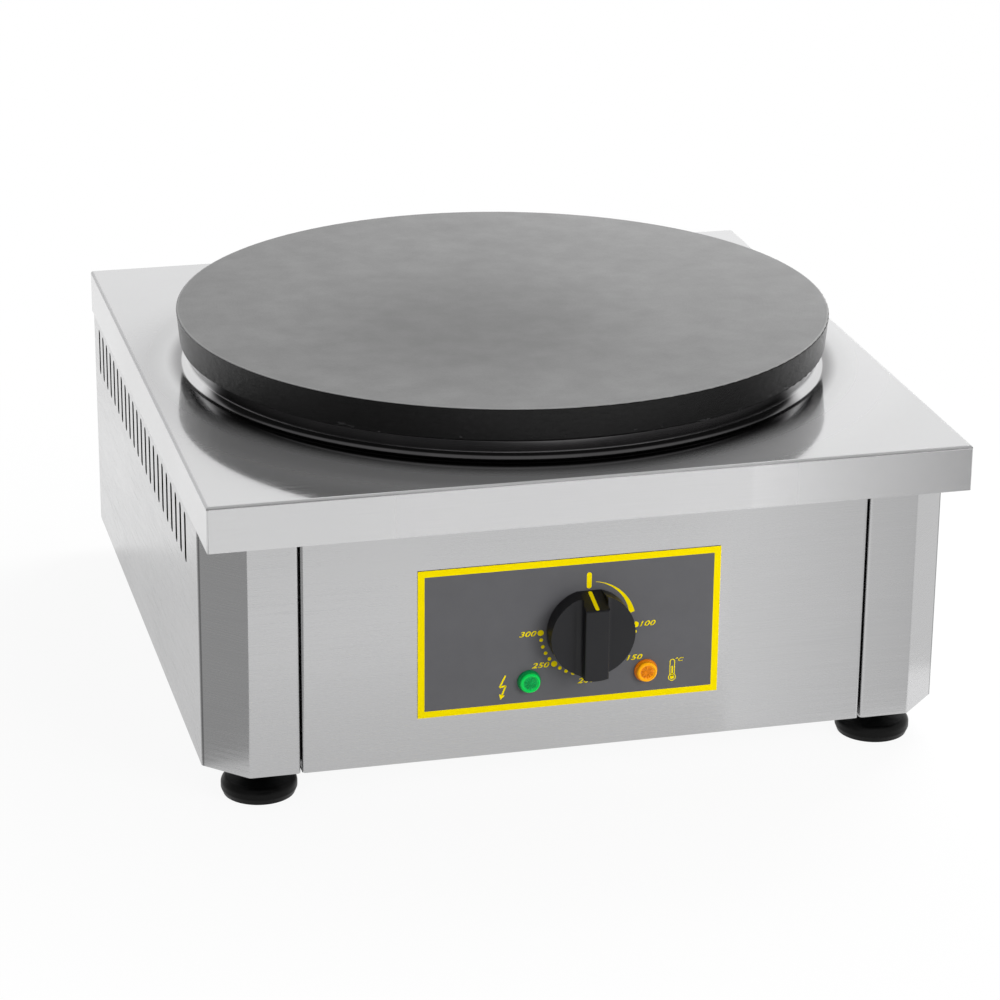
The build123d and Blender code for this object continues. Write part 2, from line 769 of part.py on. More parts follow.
def screws(planes, length, head=screw_head_height):
    """Low-headed screws, heads on the given planes, shanks behind them."""
    with BuildPart() as group:
        for plane in planes:
            with BuildSketch(plane):
                Circle(screw_head)
            extrude(amount=head)
            chamfer(group.edges(Select.LAST).sort_by(Axis(plane.origin, plane.z_dir))[-1], head / 4)
            with BuildSketch(plane):
                Circle(screw_radius)
            extrude(amount=-length)
    return group.part


base_screw_planes = [Plane((x, y, body_z), z_dir=(0, 0, -1)) for x, y in side_rows + front_rows]
save(screws(base_screw_planes, base_screw_length), "base_screws")

back_screw_planes = [
    rear_plane(s * back_screw_x, z, cheek_back - back_y) for s in (-1, 1) for z in back_screw_heights
]
save(screws(back_screw_planes, back_screw_length), "back_screws")

# ================================================================ levelling feet
foot_hex_low = foot_hub_height + contact_gap

with BuildPart() as foot_nuts:
    with BuildSketch(Plane.XY.offset(base_top)):
        with Locations(*foot_places.values()):
            Circle(foot_nut_radius)
            Circle(foot_stud + thread_fit, mode=Mode.SUBTRACT)
    extrude(amount=foot_nut_height)
save(foot_nuts.part, "foot_nuts")


def foot_pad(x, y):
    """A moulded disc with a rounded rim and a conical shoulder up to its hub."""
    with BuildPart() as pad:
        with BuildSketch(Plane(origin=(x, y, 0), x_dir=(1, 0, 0), z_dir=(0, -1, 0))):
            with BuildLine():
                socket = foot_stud + thread_fit
                shoulder = (foot_radius - foot_shoulder_in, foot_shoulder_height)
                round_height = (foot_rim_high + 2 * foot_shoulder_height) / 3
                round_middle = (foot_radius - foot_shoulder_in / 3, round_height)
                foot_sole = foot_radius - foot_sole_inset
                Line((0, 0), (foot_sole, 0))
                Line((foot_sole, 0), (foot_radius, foot_rim_low))
                Line((foot_radius, foot_rim_low), (foot_radius, foot_rim_high))
                ThreePointArc((foot_radius, foot_rim_high), round_middle, shoulder)
                Line(shoulder, (foot_hub, foot_hub_height - foot_hub_edge))
                Line((foot_hub, foot_hub_height - foot_hub_edge), (foot_hub, foot_hub_height))
                Line((foot_hub, foot_hub_height), (socket, foot_hub_height))
                Line((socket, foot_hub_height), (socket, foot_socket_floor))
                Line((socket, foot_socket_floor), (0, foot_socket_floor))
                Line((0, foot_socket_floor), (0, 0))
            make_face()
        revolve(axis=Axis((x, y, 0), (0, 0, 1)))
        rim_low = pad.edges().filter_by(lambda edge: abs(edge.center().Z - foot_rim_low) < contact_gap)
        fillet(rim_low, foot_rim_low / 2)
    return pad.part


def foot_screw(x, y):
    """The stud that turns in its pad and in the nut on the base, with a hexagon for a spanner."""
    low = foot_socket_floor + foot_socket_gap
    high = base_top + foot_nut_height + foot_stud_above
    with BuildPart() as screw:
        with BuildSketch(Plane(origin=(x, y, low))):
            Circle(foot_stud)
        extrude(amount=high - low)
        chamfer(screw.edges().group_by(Axis.Z)[-1], foot_stud / 6)
        with BuildSketch(Plane(origin=(x, y, foot_hex_low))):
            hexagon(foot_hex_flats)
        extrude(amount=foot_hex_height)
    return screw.part


for foot_name, (x, y) in foot_places.items():
    save(foot_pad(x, y), "foot_pad_" + foot_name)
    save(foot_screw(x, y), "foot_stud_" + foot_name)

# ================================================================ faceplate and lamps
lamp_places = {"green": -lamp_spread, "amber": lamp_spread}

with BuildPart() as faceplate:
    with BuildSketch(front_plane(0, 0, 0)):
        with Locations((label_center_x, body_z + label_center_height)):
            RectangleRounded(label_width, label_height, label_corner)
        with Locations((dial_x, dial_z)):
            Circle(spindle_hole, mode=Mode.SUBTRACT)
        with Locations((-thermostat_screw_spread / 2, dial_z), (thermostat_screw_spread / 2, dial_z)):
            Circle(screw_head + sheet_fit, mode=Mode.SUBTRACT)
        with Locations((-lamp_spread, lamp_z), (lamp_spread, lamp_z)):
            Circle(lamp_hole, mode=Mode.SUBTRACT)
    extrude(amount=label_sheet)
save(faceplate.part, "faceplate")

for lamp_name, x in lamp_places.items():
    with BuildPart() as lamp:
        with BuildSketch(front_plane(x, lamp_z, label_sheet)):
            Circle(lamp_body)
        extrude(amount=-lamp_depth)
    save(lamp.part, "lamp_body_" + lamp_name)
    with BuildPart() as lens:
        with BuildSketch(front_plane(x, lamp_z, label_sheet)):
            Circle(lens_flange)
        extrude(amount=lens_flange_height)
        fillet(lens.edges().group_by(Axis.Y)[0], lens_flange_height / 2)
        with BuildSketch(front_plane(x, lamp_z, label_sheet)):
            Circle(lens_radius)
        extrude(amount=lens_height)
        fillet(lens.edges().group_by(Axis.Y)[0], lens_edge)
    save(lens.part, "lamp_lens_" + lamp_name)

with BuildPart() as lamp_nuts:
    for x in lamp_places.values():
        with BuildSketch(front_plane(x, lamp_z, -panel_sheet)):
            Circle(lamp_nut)
            Circle(lamp_hole, mode=Mode.SUBTRACT)
        extrude(amount=-lamp_nut_height)
save(lamp_nuts.part, "lamp_nuts")

# ================================================================ thermostat
thermostat_face = -panel_sheet - thermostat_flange
thermostat_screw_xs = (-thermostat_screw_spread / 2, thermostat_screw_spread / 2)
thermostat_back = thermostat_face - thermostat_depth


def thermostat_holes():
    """Bores for the spindle and the two fixing screws."""
    Circle(spindle_radius + spindle_fit, mode=Mode.SUBTRACT)
    with Locations(*[(x, 0) for x in thermostat_screw_xs]):
        Circle(screw_radius + spindle_fit, mode=Mode.SUBTRACT)


with BuildPart() as thermostat:
    body_width = thermostat_width - 2 * thermostat_step
    body_tall = thermostat_height - thermostat_step
    bored_depth = spindle_bite + spindle_fit
    with BuildSketch(front_plane(dial_x, dial_z, -panel_sheet)):
        Rectangle(thermostat_width, thermostat_height)
        thermostat_holes()
    extrude(amount=-thermostat_flange)
    with BuildSketch(front_plane(dial_x, dial_z, thermostat_face)):
        RectangleRounded(body_width, body_tall, thermostat_corner)
        thermostat_holes()
    extrude(amount=-bored_depth)
    with BuildSketch(front_plane(dial_x, dial_z, thermostat_face - bored_depth)):
        RectangleRounded(body_width, body_tall, thermostat_corner)
    extrude(amount=bored_depth - thermostat_depth)
save(thermostat.part, "thermostat_body")

tab_points = [(-tab_spread, -tab_drop), (0, -tab_drop), (tab_spread, -tab_drop)]

with BuildPart() as thermostat_tabs:
    with BuildSketch(front_plane(dial_x, dial_z, thermostat_back)):
        with Locations(*tab_points):
            Rectangle(tab_width, tab_sheet)
    extrude(amount=-tab_length)
save(thermostat_tabs.part, "thermostat_tabs")

thermostat_screw_planes = [front_plane(dial_x + x, dial_z, 0) for x in thermostat_screw_xs]


thermostat_screw_head = label_sheet + contact_gap
save(screws(thermostat_screw_planes, thermostat_screw_length, thermostat_screw_head), "thermostat_screws")

# ================================================================ knob
knob_base = label_sheet + knob_gap
knob_nose = knob_radius - knob_nose_inset
knob_nose_foot = knob_radius - knob_foot_inset
slope = (knob_nose_foot - knob_nose) / knob_grip
spindle_front = knob_disc - spindle_cap

half_bar = knob_bar / 2
root_x = half_bar + knob_root
root_y = knob_disc + knob_root
knob_bottom = Plane(origin=(dial_x, front_y, dial_z - knob_radius), x_dir=(-1, 0, 0), z_dir=(0, 0, 1))

with BuildPart() as knob:
    with BuildSketch(knob_bottom):
        with BuildLine():
            Polyline((-half_bar, root_y), (-half_bar, knob_grip), (half_bar, knob_grip), (half_bar, root_y))
            RadiusArc((half_bar, root_y), (root_x, knob_disc), -knob_root)
            Polyline(
                (root_x, knob_disc), (knob_radius, knob_disc), (knob_radius, knob_base),
                (-knob_radius, knob_base), (-knob_radius, knob_disc), (-root_x, knob_disc),
            )
            RadiusArc((-root_x, knob_disc), (-half_bar, root_y), -knob_root)
        make_face()
    extrude(amount=2 * knob_radius)
    with BuildSketch(front_plane(dial_x, dial_z, knob_base)):
        Circle(knob_radius)
    extrude(amount=knob_grip - knob_base, mode=Mode.INTERSECT)
    with BuildSketch(Plane(origin=(dial_x - half_bar, front_y, dial_z), x_dir=(0, -1, 0), z_dir=(-1, 0, 0))):
        with BuildLine():
            Polyline(
                (0, knob_nose_foot), (knob_grip, knob_nose), (knob_grip, knob_radius),
                (0, knob_radius), (0, knob_nose_foot),
            )
        make_face()
    extrude(amount=-knob_bar, mode=Mode.SUBTRACT)
    fillet(knob.edges().group_by(Axis.Y)[0], knob_edge)
    with BuildSketch(front_plane(dial_x, dial_z, knob_base)):
        Circle(spindle_radius + spindle_fit)
    extrude(amount=spindle_front - knob_base + spindle_fit, mode=Mode.SUBTRACT)
    pointer_middle = knob_base + pointer_start + pointer_length / 2
    pointer_plane = Plane(
        origin=(dial_x, front_y - pointer_middle, dial_z + knob_nose_foot - slope * pointer_middle),
        x_dir=(1, 0, 0),
        z_dir=(0, -slope, 1),
    )
    with BuildSketch(pointer_plane):
        SlotOverall(pointer_length + 2 * pointer_fit, pointer_width + 2 * pointer_fit, rotation=90)
    extrude(amount=-pointer_groove, mode=Mode.SUBTRACT)
save(knob.part, "knob")

with BuildPart() as knob_pointer:
    with BuildSketch(pointer_plane.offset(pointer_fit)):
        SlotOverall(pointer_length, pointer_width, rotation=90)
    extrude(amount=-pointer_groove)
save(knob_pointer.part, "knob_pointer")

with BuildPart() as spindle:
    with BuildSketch(front_plane(dial_x, dial_z, spindle_front)):
        Circle(spindle_radius)
    extrude(amount=-(spindle_front + panel_sheet + thermostat_flange + spindle_bite))
    chamfer(spindle.edges().group_by(Axis.Y)[0], spindle_radius / 6)
save(spindle.part, "spindle")

# ================================================================ sensing bulb and capillary
bulb_y = plate_y - bulb_ring
bulb_z = web_z - contact_gap - bulb_radius

with BuildPart() as sensing_bulb:
    with BuildSketch(Plane(origin=(-bulb_length / 2, bulb_y, bulb_z), z_dir=(1, 0, 0))):
        Circle(bulb_radius)
    extrude(amount=bulb_length)
    fillet(sensing_bulb.edges().filter_by(GeomType.CIRCLE), bulb_radius / 2)
save(sensing_bulb.part, "sensing_bulb")

with BuildPart() as bulb_saddles:
    arch = bulb_radius + contact_gap
    for x in (-bulb_length / 4, bulb_length / 4):
        saddle_plane = Plane(origin=(x, bulb_y, bulb_z), x_dir=(0, 1, 0), z_dir=(1, 0, 0))
        with BuildSketch(saddle_plane):
            Circle(arch + saddle_sheet)
            with Locations((0, arch / 2)):
                Rectangle(2 * arch + 2 * saddle_sheet, arch)
            with Locations((0, arch - saddle_sheet / 2)):
                Rectangle(4 * arch, saddle_sheet)
            Circle(arch, mode=Mode.SUBTRACT)
            with Locations((0, arch)):
                Rectangle(2 * arch, 2 * arch, mode=Mode.SUBTRACT)
            with Locations((0, 2 * arch)):
                Rectangle(6 * arch, 2 * arch, mode=Mode.SUBTRACT)
        extrude(amount=saddle_width / 2, both=True)
save(bulb_saddles.part, "bulb_saddles")


def wire(points, radii, radius):
    """A round lead along straight runs and tangent arcs."""
    with BuildPart() as lead:
        with BuildLine() as route:
            FilletPolyline(*points, radius=radii)
        start = route.line @ 0
        with BuildSketch(Plane(origin=start, z_dir=route.line % 0)):
            Circle(radius)
        sweep(path=route.line)
    return lead.part


thermostat_rear = front_y - thermostat_back
capillary_end = (dial_x - tab_spread, thermostat_rear, dial_z + tab_drop)
capillary_lane = thermostat_rear + 2 * lead_spacing
capillary_route = [
    (-bulb_length / 2, bulb_y, bulb_z),
    (capillary_x, bulb_y, bulb_z),
    (capillary_x, bulb_y, over_rail),
    (capillary_end[0], capillary_lane, over_rail),
    (capillary_end[0], capillary_lane, capillary_end[2]),
    capillary_end,
]
save(wire(capillary_route, [capillary_bend] * 4, capillary_radius), "capillary")

# ================================================================ supply side
with BuildPart() as cable_gland:
    with BuildSketch(rear_plane(gland_x, gland_z, 0)):
        hexagon(gland_flats)
        Circle(gland_bore, mode=Mode.SUBTRACT)
    extrude(amount=gland_body)
    with BuildSketch(rear_plane(gland_x, gland_z, 0)):
        Circle(gland_thread)
        Circle(gland_bore, mode=Mode.SUBTRACT)
    extrude(amount=-(panel_sheet + gland_nut_height + gland_end))
save(cable_gland.part, "cable_gland")

with BuildPart() as gland_cap_part:
    with BuildSketch(rear_plane(gland_x, gland_z, gland_body)):
        Circle(gland_flats / 2)
    extrude(amount=gland_cap)
    fillet(gland_cap_part.edges().group_by(Axis.Y)[-1], gland_cap / 3)
    with BuildSketch(rear_plane(gland_x, gland_z, gland_body)):
        Circle(gland_bore)
    extrude(amount=gland_cap, mode=Mode.SUBTRACT)
save(gland_cap_part.part, "gland_cap")

with BuildPart() as gland_nut:
    with BuildSketch(rear_plane(gland_x, gland_z, -panel_sheet)):
        hexagon(gland_flats)
        Circle(gland_hole, mode=Mode.SUBTRACT)
    extrude(amount=-gland_nut_height)
save(gland_nut.part, "gland_nut")

with BuildPart() as bonding_stud:
    with BuildSketch(rear_plane(bond_x, bond_z, bond_length)):
        Circle(bond_stud)
    extrude(amount=bond_nut_height + bond_relief - bond_length)
    chamfer(bonding_stud.edges().group_by(Axis.Y)[-1], bond_stud / 6)
    with BuildSketch(rear_plane(bond_x, bond_z, bond_nut_height + bond_relief)):
        Circle(bond_shank)
    extrude(amount=-(2 * bond_nut_height + bond_relief + panel_sheet + bond_end_length))
save(bonding_stud.part, "bonding_stud")

with BuildPart() as bonding_nuts:
    for behind, height in ((0, bond_nut_height), (-panel_sheet, -bond_nut_height)):
        with BuildSketch(rear_plane(bond_x, bond_z, behind)):
            hexagon(nut_flats)
            Circle(bond_shank + thread_fit, mode=Mode.SUBTRACT)
        extrude(amount=height)
save(bonding_nuts.part, "bonding_nuts")

terminal_columns = [(i - 1) * terminal_pitch for i in range(3)]

with BuildPart() as terminal_block:
    with BuildSketch(Plane(origin=(terminal_x, terminal_y, base_top))):
        Rectangle(terminal_width, terminal_depth)
        with Locations((-terminal_screw_x, 0), (terminal_screw_x, 0)):
            Circle(screw_radius + thread_fit, mode=Mode.SUBTRACT)
    extrude(amount=terminal_height / 3)
    with BuildSketch(Plane(origin=(terminal_x, terminal_y, base_top + terminal_height / 3))):
        Rectangle(2 * (terminal_screw_x - screw_head - head_gap), terminal_depth)
    extrude(amount=terminal_height * 2 / 3)
    with BuildSketch(Plane(origin=(terminal_x, terminal_y, base_top + terminal_height))):
        with Locations(*[(c, 0) for c in terminal_columns]):
            Rectangle(insert_size + 2 * insert_fit, terminal_depth)
    extrude(amount=-insert_size, mode=Mode.SUBTRACT)
save(terminal_block.part, "terminal_block")

with BuildPart() as terminal_inserts:
    with BuildSketch(Plane(origin=(terminal_x, terminal_y, base_top + terminal_height - insert_size))):
        with Locations(*[(c, 0) for c in terminal_columns]):
            Rectangle(insert_size, terminal_depth - 2 * insert_drop)
    extrude(amount=insert_size - insert_drop)
save(terminal_inserts.part, "terminal_inserts")

terminal_foot = base_top + terminal_height / 3
terminal_screw_planes = [
    Plane((terminal_x + x, terminal_y, terminal_foot)) for x in (-terminal_screw_x, terminal_screw_x)
]
terminal_screw_length = terminal_height / 3 + base_sheet + contact_gap
save(screws(terminal_screw_planes, terminal_screw_length, screw_head_height), "terminal_screws")

# ================================================================ leads inside the housing
tab_end = thermostat_rear + tab_length + contact_gap
tab_z = dial_z - tab_drop
insert_end = terminal_y - terminal_depth / 2
low_lane = base_top + terminal_height - insert_size / 2
under_rail = rail_top - rail_height - lead_spacing / 2
forward_lane = tab_end + 2 * lead_spacing
rear_lane = insert_end - 2 * lead_spacing
strap_foot = strap_under - contact_gap
live_end_y = plate_y + min(leg_ys) + lead_spacing
neutral_end_y = plate_y + max(leg_ys) - 2 * lead_spacing

supply_route = [
    (dial_x - tab_spread, tab_end, tab_z),
    (dial_x - tab_spread, forward_lane, tab_z),
    (dial_x - tab_spread, forward_lane, low_lane),
    (terminal_x - terminal_pitch, forward_lane, low_lane),
    (terminal_x - terminal_pitch, insert_end, low_lane),
]
live_route = [
    (dial_x + tab_spread, tab_end, tab_z),
    (dial_x + tab_spread, forward_lane, tab_z),
    (dial_x + tab_spread, forward_lane, over_rail),
    (strap_x, live_end_y, over_rail),
    (strap_x, live_end_y, strap_foot),
]
neutral_route = [
    (terminal_x, insert_end, low_lane),
    (terminal_x, rear_lane, low_lane),
    (terminal_x, rear_lane, under_rail),
    (-strap_x, neutral_end_y, under_rail),
    (-strap_x, neutral_end_y, strap_foot),
]
with BuildPart() as power_leads:
    add(wire(supply_route, [lead_bend] * 3, lead_radius))
    add(wire(live_route, [lead_bend] * 3, lead_radius))
    add(wire(neutral_route, [lead_bend] * 3, lead_radius))
save(power_leads.part, "power_leads")

bond_end = back_y - panel_sheet - bond_nut_height - bond_end_length - contact_gap
bond_lane = insert_end - lead_spacing
earth_route = [
    (terminal_x + terminal_pitch, insert_end, low_lane),
    (terminal_x + terminal_pitch, bond_lane, low_lane),
    (terminal_x + terminal_pitch, bond_lane, bond_z),
    (bond_x, bond_lane, bond_z),
    (bond_x, bond_end, bond_z),
]
save(wire(earth_route, [lead_bend / 2, lead_bend / 2, lead_bend], lead_radius), "earth_lead")

lamp_rear = front_y - label_sheet + lamp_depth + contact_gap
lamp_lane = thermostat_rear + tab_length / 2
tab_foot = tab_z - tab_sheet / 2 - contact_gap
loop_z = lamp_z - lamp_body - 3 * lamp_lead_bend / 2
with BuildPart() as lamp_leads:
    for side in (-1, 1):
        inner_x = side * (lamp_spread - lamp_lead_gap)
        outer_x = side * (lamp_spread + lamp_lead_gap)
        inner_route = [
            (inner_x, lamp_rear, lamp_z),
            (inner_x, lamp_lane, lamp_z),
            (side * tab_spread, lamp_lane, lamp_z),
            (side * tab_spread, lamp_lane, tab_foot),
        ]
        outer_route = [
            (outer_x, lamp_rear, lamp_z),
            (outer_x, lamp_lane, lamp_z),
            (outer_x, lamp_lane, loop_z),
            (side * lamp_lead_gap, lamp_lane, loop_z),
            (side * lamp_lead_gap, lamp_lane, tab_foot),
        ]
        add(wire(inner_route, [lamp_lead_bend] * 2, lamp_lead_radius))
        add(wire(outer_route, [lamp_lead_bend] * 3, lamp_lead_radius))
save(lamp_leads.part, "lamp_leads")
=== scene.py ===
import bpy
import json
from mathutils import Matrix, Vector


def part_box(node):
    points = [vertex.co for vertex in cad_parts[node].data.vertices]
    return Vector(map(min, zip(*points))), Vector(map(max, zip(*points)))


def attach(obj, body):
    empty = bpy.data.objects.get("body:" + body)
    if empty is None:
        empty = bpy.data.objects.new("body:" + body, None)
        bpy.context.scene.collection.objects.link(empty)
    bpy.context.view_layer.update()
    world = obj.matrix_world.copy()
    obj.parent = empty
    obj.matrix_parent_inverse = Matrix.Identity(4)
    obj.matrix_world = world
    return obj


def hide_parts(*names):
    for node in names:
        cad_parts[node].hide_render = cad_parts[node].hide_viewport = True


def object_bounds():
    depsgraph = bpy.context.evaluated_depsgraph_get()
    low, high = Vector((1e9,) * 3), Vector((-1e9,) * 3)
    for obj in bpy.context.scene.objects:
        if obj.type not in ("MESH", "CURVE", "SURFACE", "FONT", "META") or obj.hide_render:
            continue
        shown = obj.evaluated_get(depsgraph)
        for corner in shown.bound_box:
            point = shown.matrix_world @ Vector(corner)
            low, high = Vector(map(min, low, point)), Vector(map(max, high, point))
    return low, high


bl_info = {
    "name": "Crepe maker looks",
    "version": (1, 0, 0),
    "blender": (4, 5, 0),
    "location": "3D View > Sidebar > Crepe maker",
    "description": "Finishes, dial print, lamp lenses, screws and studio for an electric crepe maker",
    "category": "Object",
}

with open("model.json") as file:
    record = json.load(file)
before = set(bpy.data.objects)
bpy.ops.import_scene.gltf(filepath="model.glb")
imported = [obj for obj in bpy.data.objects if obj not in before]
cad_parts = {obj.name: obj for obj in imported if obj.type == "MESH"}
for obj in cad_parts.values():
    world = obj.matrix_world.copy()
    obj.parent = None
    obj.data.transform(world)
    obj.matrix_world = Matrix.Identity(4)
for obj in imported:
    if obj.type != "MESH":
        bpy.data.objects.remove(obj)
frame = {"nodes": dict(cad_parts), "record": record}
cad_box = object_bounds()

import json
import math

import bmesh
import bpy
from bpy.props import FloatProperty, FloatVectorProperty, PointerProperty
from mathutils import Matrix, Vector

MM = 0.001
WHITE = (1.0, 1.0, 1.0, 1.0)
LEVEL = (1.0, 1.0, 0.0)  # keeps a vector's level part
AWAY = (0.25, 0.968, 0.0)  # level way from the camera to the object
TOWARD = (-0.25, -0.968, 0.0)
FOOT_RADIUS = 200.0 * MM  # where the collar meets the tray
HEAD_HEIGHT = 2.4 * MM  # pan screws
SIGN_X = 51.6 * MM  # the signs, to either side of the dial
SHANK_RADIUS = 1.95 * MM
DEG = math.radians

# Places read from the frame, in metres.
LABEL_LOW, LABEL_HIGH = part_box("faceplate")
KNOB_LOW, KNOB_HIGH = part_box("knob")
PLATE_LOW, PLATE_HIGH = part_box("griddle_plate")
TRAY_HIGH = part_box("top_tray")[1]
LABEL_FACE = LABEL_LOW.y
DIAL_X = (KNOB_LOW.x + KNOB_HIGH.x) / 2
DIAL_Z = KNOB_LOW.z + (KNOB_HIGH.x - KNOB_LOW.x) / 2
PLATE_Y = (PLATE_LOW.y + PLATE_HIGH.y) / 2
CHEEK_X = -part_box("cheek_left")[0].x
LAMP_LOW, LAMP_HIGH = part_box("lamp_lens_amber")
LAMP_X = abs(LAMP_LOW.x + LAMP_HIGH.x) / 2
LAMP_Z = (LAMP_LOW.z + LAMP_HIGH.z) / 2


# ---------------------------------------------------------------- settings
class StudioSettings(bpy.types.PropertyGroup):
    camera_place: FloatVectorProperty(
        name="Camera place", description="Where the camera stands", subtype="TRANSLATION", unit="LENGTH",
        default=(-0.5104, -1.9850, 0.8753),
    )
    camera_yaw: FloatProperty(
        name="Camera yaw", description="Turn to the right of straight ahead", subtype="ANGLE",
        default=DEG(14.472),
    )
    camera_pitch: FloatProperty(
        name="Camera pitch", description="Tilt down from the horizon", subtype="ANGLE",
        default=DEG(20.806),
    )
    camera_roll: FloatProperty(
        name="Camera roll", description="Turn about the line of sight", subtype="ANGLE",
        default=DEG(0.538),
    )
    focal_length: FloatProperty(
        name="Focal length", description="Focal length in millimetres on a 36 mm sensor", default=124.08,
    )
    sky_level: FloatProperty(
        name="Sky level", description="Level of the even light from all round", default=0.46,
    )
    backdrop_level: FloatProperty(
        name="Backdrop level", description="How bright the backdrop looks in polished steel", default=0.95,
    )
    room_level: FloatProperty(
        name="Room level", description="How bright the rest of the room looks in polished steel", default=0.03,
    )
    card_level: FloatProperty(
        name="Card level", default=0.40,
        description="How bright the left gray card looks in polished steel; the other cards follow it",
    )
    key_power: FloatProperty(
        name="Key light", description="Power of the large soft light on the right", subtype="POWER", default=29.0,
    )
    back_power: FloatProperty(
        name="Back light", description="Power of the soft light behind and above", subtype="POWER", default=13.0,
    )


class FinishSettings(bpy.types.PropertyGroup):
    tray_color: FloatVectorProperty(
        name="Tray steel", description="Colour of the polished top tray", subtype="COLOR", size=3,
        default=(0.675, 0.675, 0.68),
    )
    panel_color: FloatVectorProperty(
        name="Panel steel", description="Colour of the satin panels", subtype="COLOR", size=3,
        default=(0.58, 0.58, 0.585),
    )
    plate_color: FloatVectorProperty(
        name="Griddle face", description="Colour of the machined griddle face", subtype="COLOR", size=3,
        default=(0.245, 0.245, 0.245),
    )
    rim_color: FloatVectorProperty(
        name="Cast rim", description="Colour of the rough cast rim", subtype="COLOR", size=3,
        default=(0.0026, 0.0026, 0.0026),
    )
    field_color: FloatVectorProperty(
        name="Faceplate field", description="Grey of the faceplate", subtype="COLOR", size=3,
        default=(0.112, 0.112, 0.119),
    )
    collar_foot: FloatProperty(
        name="Collar foot", description="Radius where the collar runs into the tray", unit="LENGTH",
        default=6.0 * MM,
    )
    gland_bore: FloatProperty(
        name="Gland bore", description="Radius of the cord's way through the gland cap", unit="LENGTH",
        default=5.0 * MM,
    )
    ink_color: FloatVectorProperty(
        name="Ink", description="Yellow of the border, marks and pointer", subtype="COLOR", size=3,
        default=(1.0, 0.80, 0.0),
    )


class PrintSettings(bpy.types.PropertyGroup):
    ink_height: FloatProperty(
        name="Ink height", description="How far the print stands off the faceplate", unit="LENGTH",
        default=0.06 * MM,
    )
    border: FloatProperty(
        name="Border", description="Width of the faceplate's border", unit="LENGTH", default=4.0 * MM,
    )
    dot_ring: FloatProperty(
        name="Dot ring", description="Radius of the ring of dots", unit="LENGTH", default=28.6 * MM,
    )
    big_dot: FloatProperty(
        name="Big dot", description="Radius of a numbered dot", unit="LENGTH", default=1.85 * MM,
    )
    small_dot: FloatProperty(
        name="Small dot", description="Radius of a dot between numbers", unit="LENGTH", default=1.12 * MM,
    )
    number_height: FloatProperty(
        name="Number height", description="Height of the dial numbers", unit="LENGTH", default=3.3 * MM,
    )


SETTINGS = {
    "crepe_studio": StudioSettings,
    "crepe_finishes": FinishSettings,
    "crepe_print": PrintSettings,
}


# ---------------------------------------------------------------- finishes
FINISHES = {}  # each slot's finish, once the finishes operator has made it


class NodeTree:
    """The nodes of a material or a world, built from left to right."""

    def __init__(self, owner):
        owner.use_nodes = True
        self.nodes = owner.node_tree.nodes
        self.links = owner.node_tree.links

    def feed(self, value, socket):
        """Links an output to a socket, or writes a plain value in it."""
        if isinstance(value, bpy.types.NodeSocket):
            self.links.new(value, socket)
        else:
            socket.default_value = value

    def add(self, kind, inputs, **choices):
        """Makes a node with its choices set and its inputs fed."""
        node = self.nodes.new(kind)
        for name, choice in choices.items():
            setattr(node, name, choice)
        for name, value in inputs.items():
            self.feed(value, node.inputs[name])
        return node

    def remap(self, value, low, high, to_low=0.0, to_high=1.0, smooth=False):
        inputs = {"Value": value, "From Min": low, "From Max": high, "To Min": to_low, "To Max": to_high}
        way = "SMOOTHSTEP" if smooth else "LINEAR"
        return self.add("ShaderNodeMapRange", inputs, interpolation_type=way).outputs["Result"]

    def math(self, operation, first, second=0.0):
        return self.add("ShaderNodeMath", {0: first, 1: second}, operation=operation).outputs[0]

    def dot(self, vector, direction):
        inputs = {0: vector, 1: direction}
        return self.add("ShaderNodeVectorMath", inputs, operation="DOT_PRODUCT").outputs["Value"]

    def axis(self, vector):
        """The three numbers of a vector."""
        return self.add("ShaderNodeSeparateXYZ", {"Vector": vector}).outputs

    def glow(self, kind, strength):
        """White light of a strength, from a background or an emission node."""
        return self.add(kind, {"Color": WHITE, "Strength": strength}).outputs[0]

    def mix_shaders(self, share, first, second):
        return self.add("ShaderNodeMixShader", {"Fac": share, 1: first, 2: second}).outputs[0]


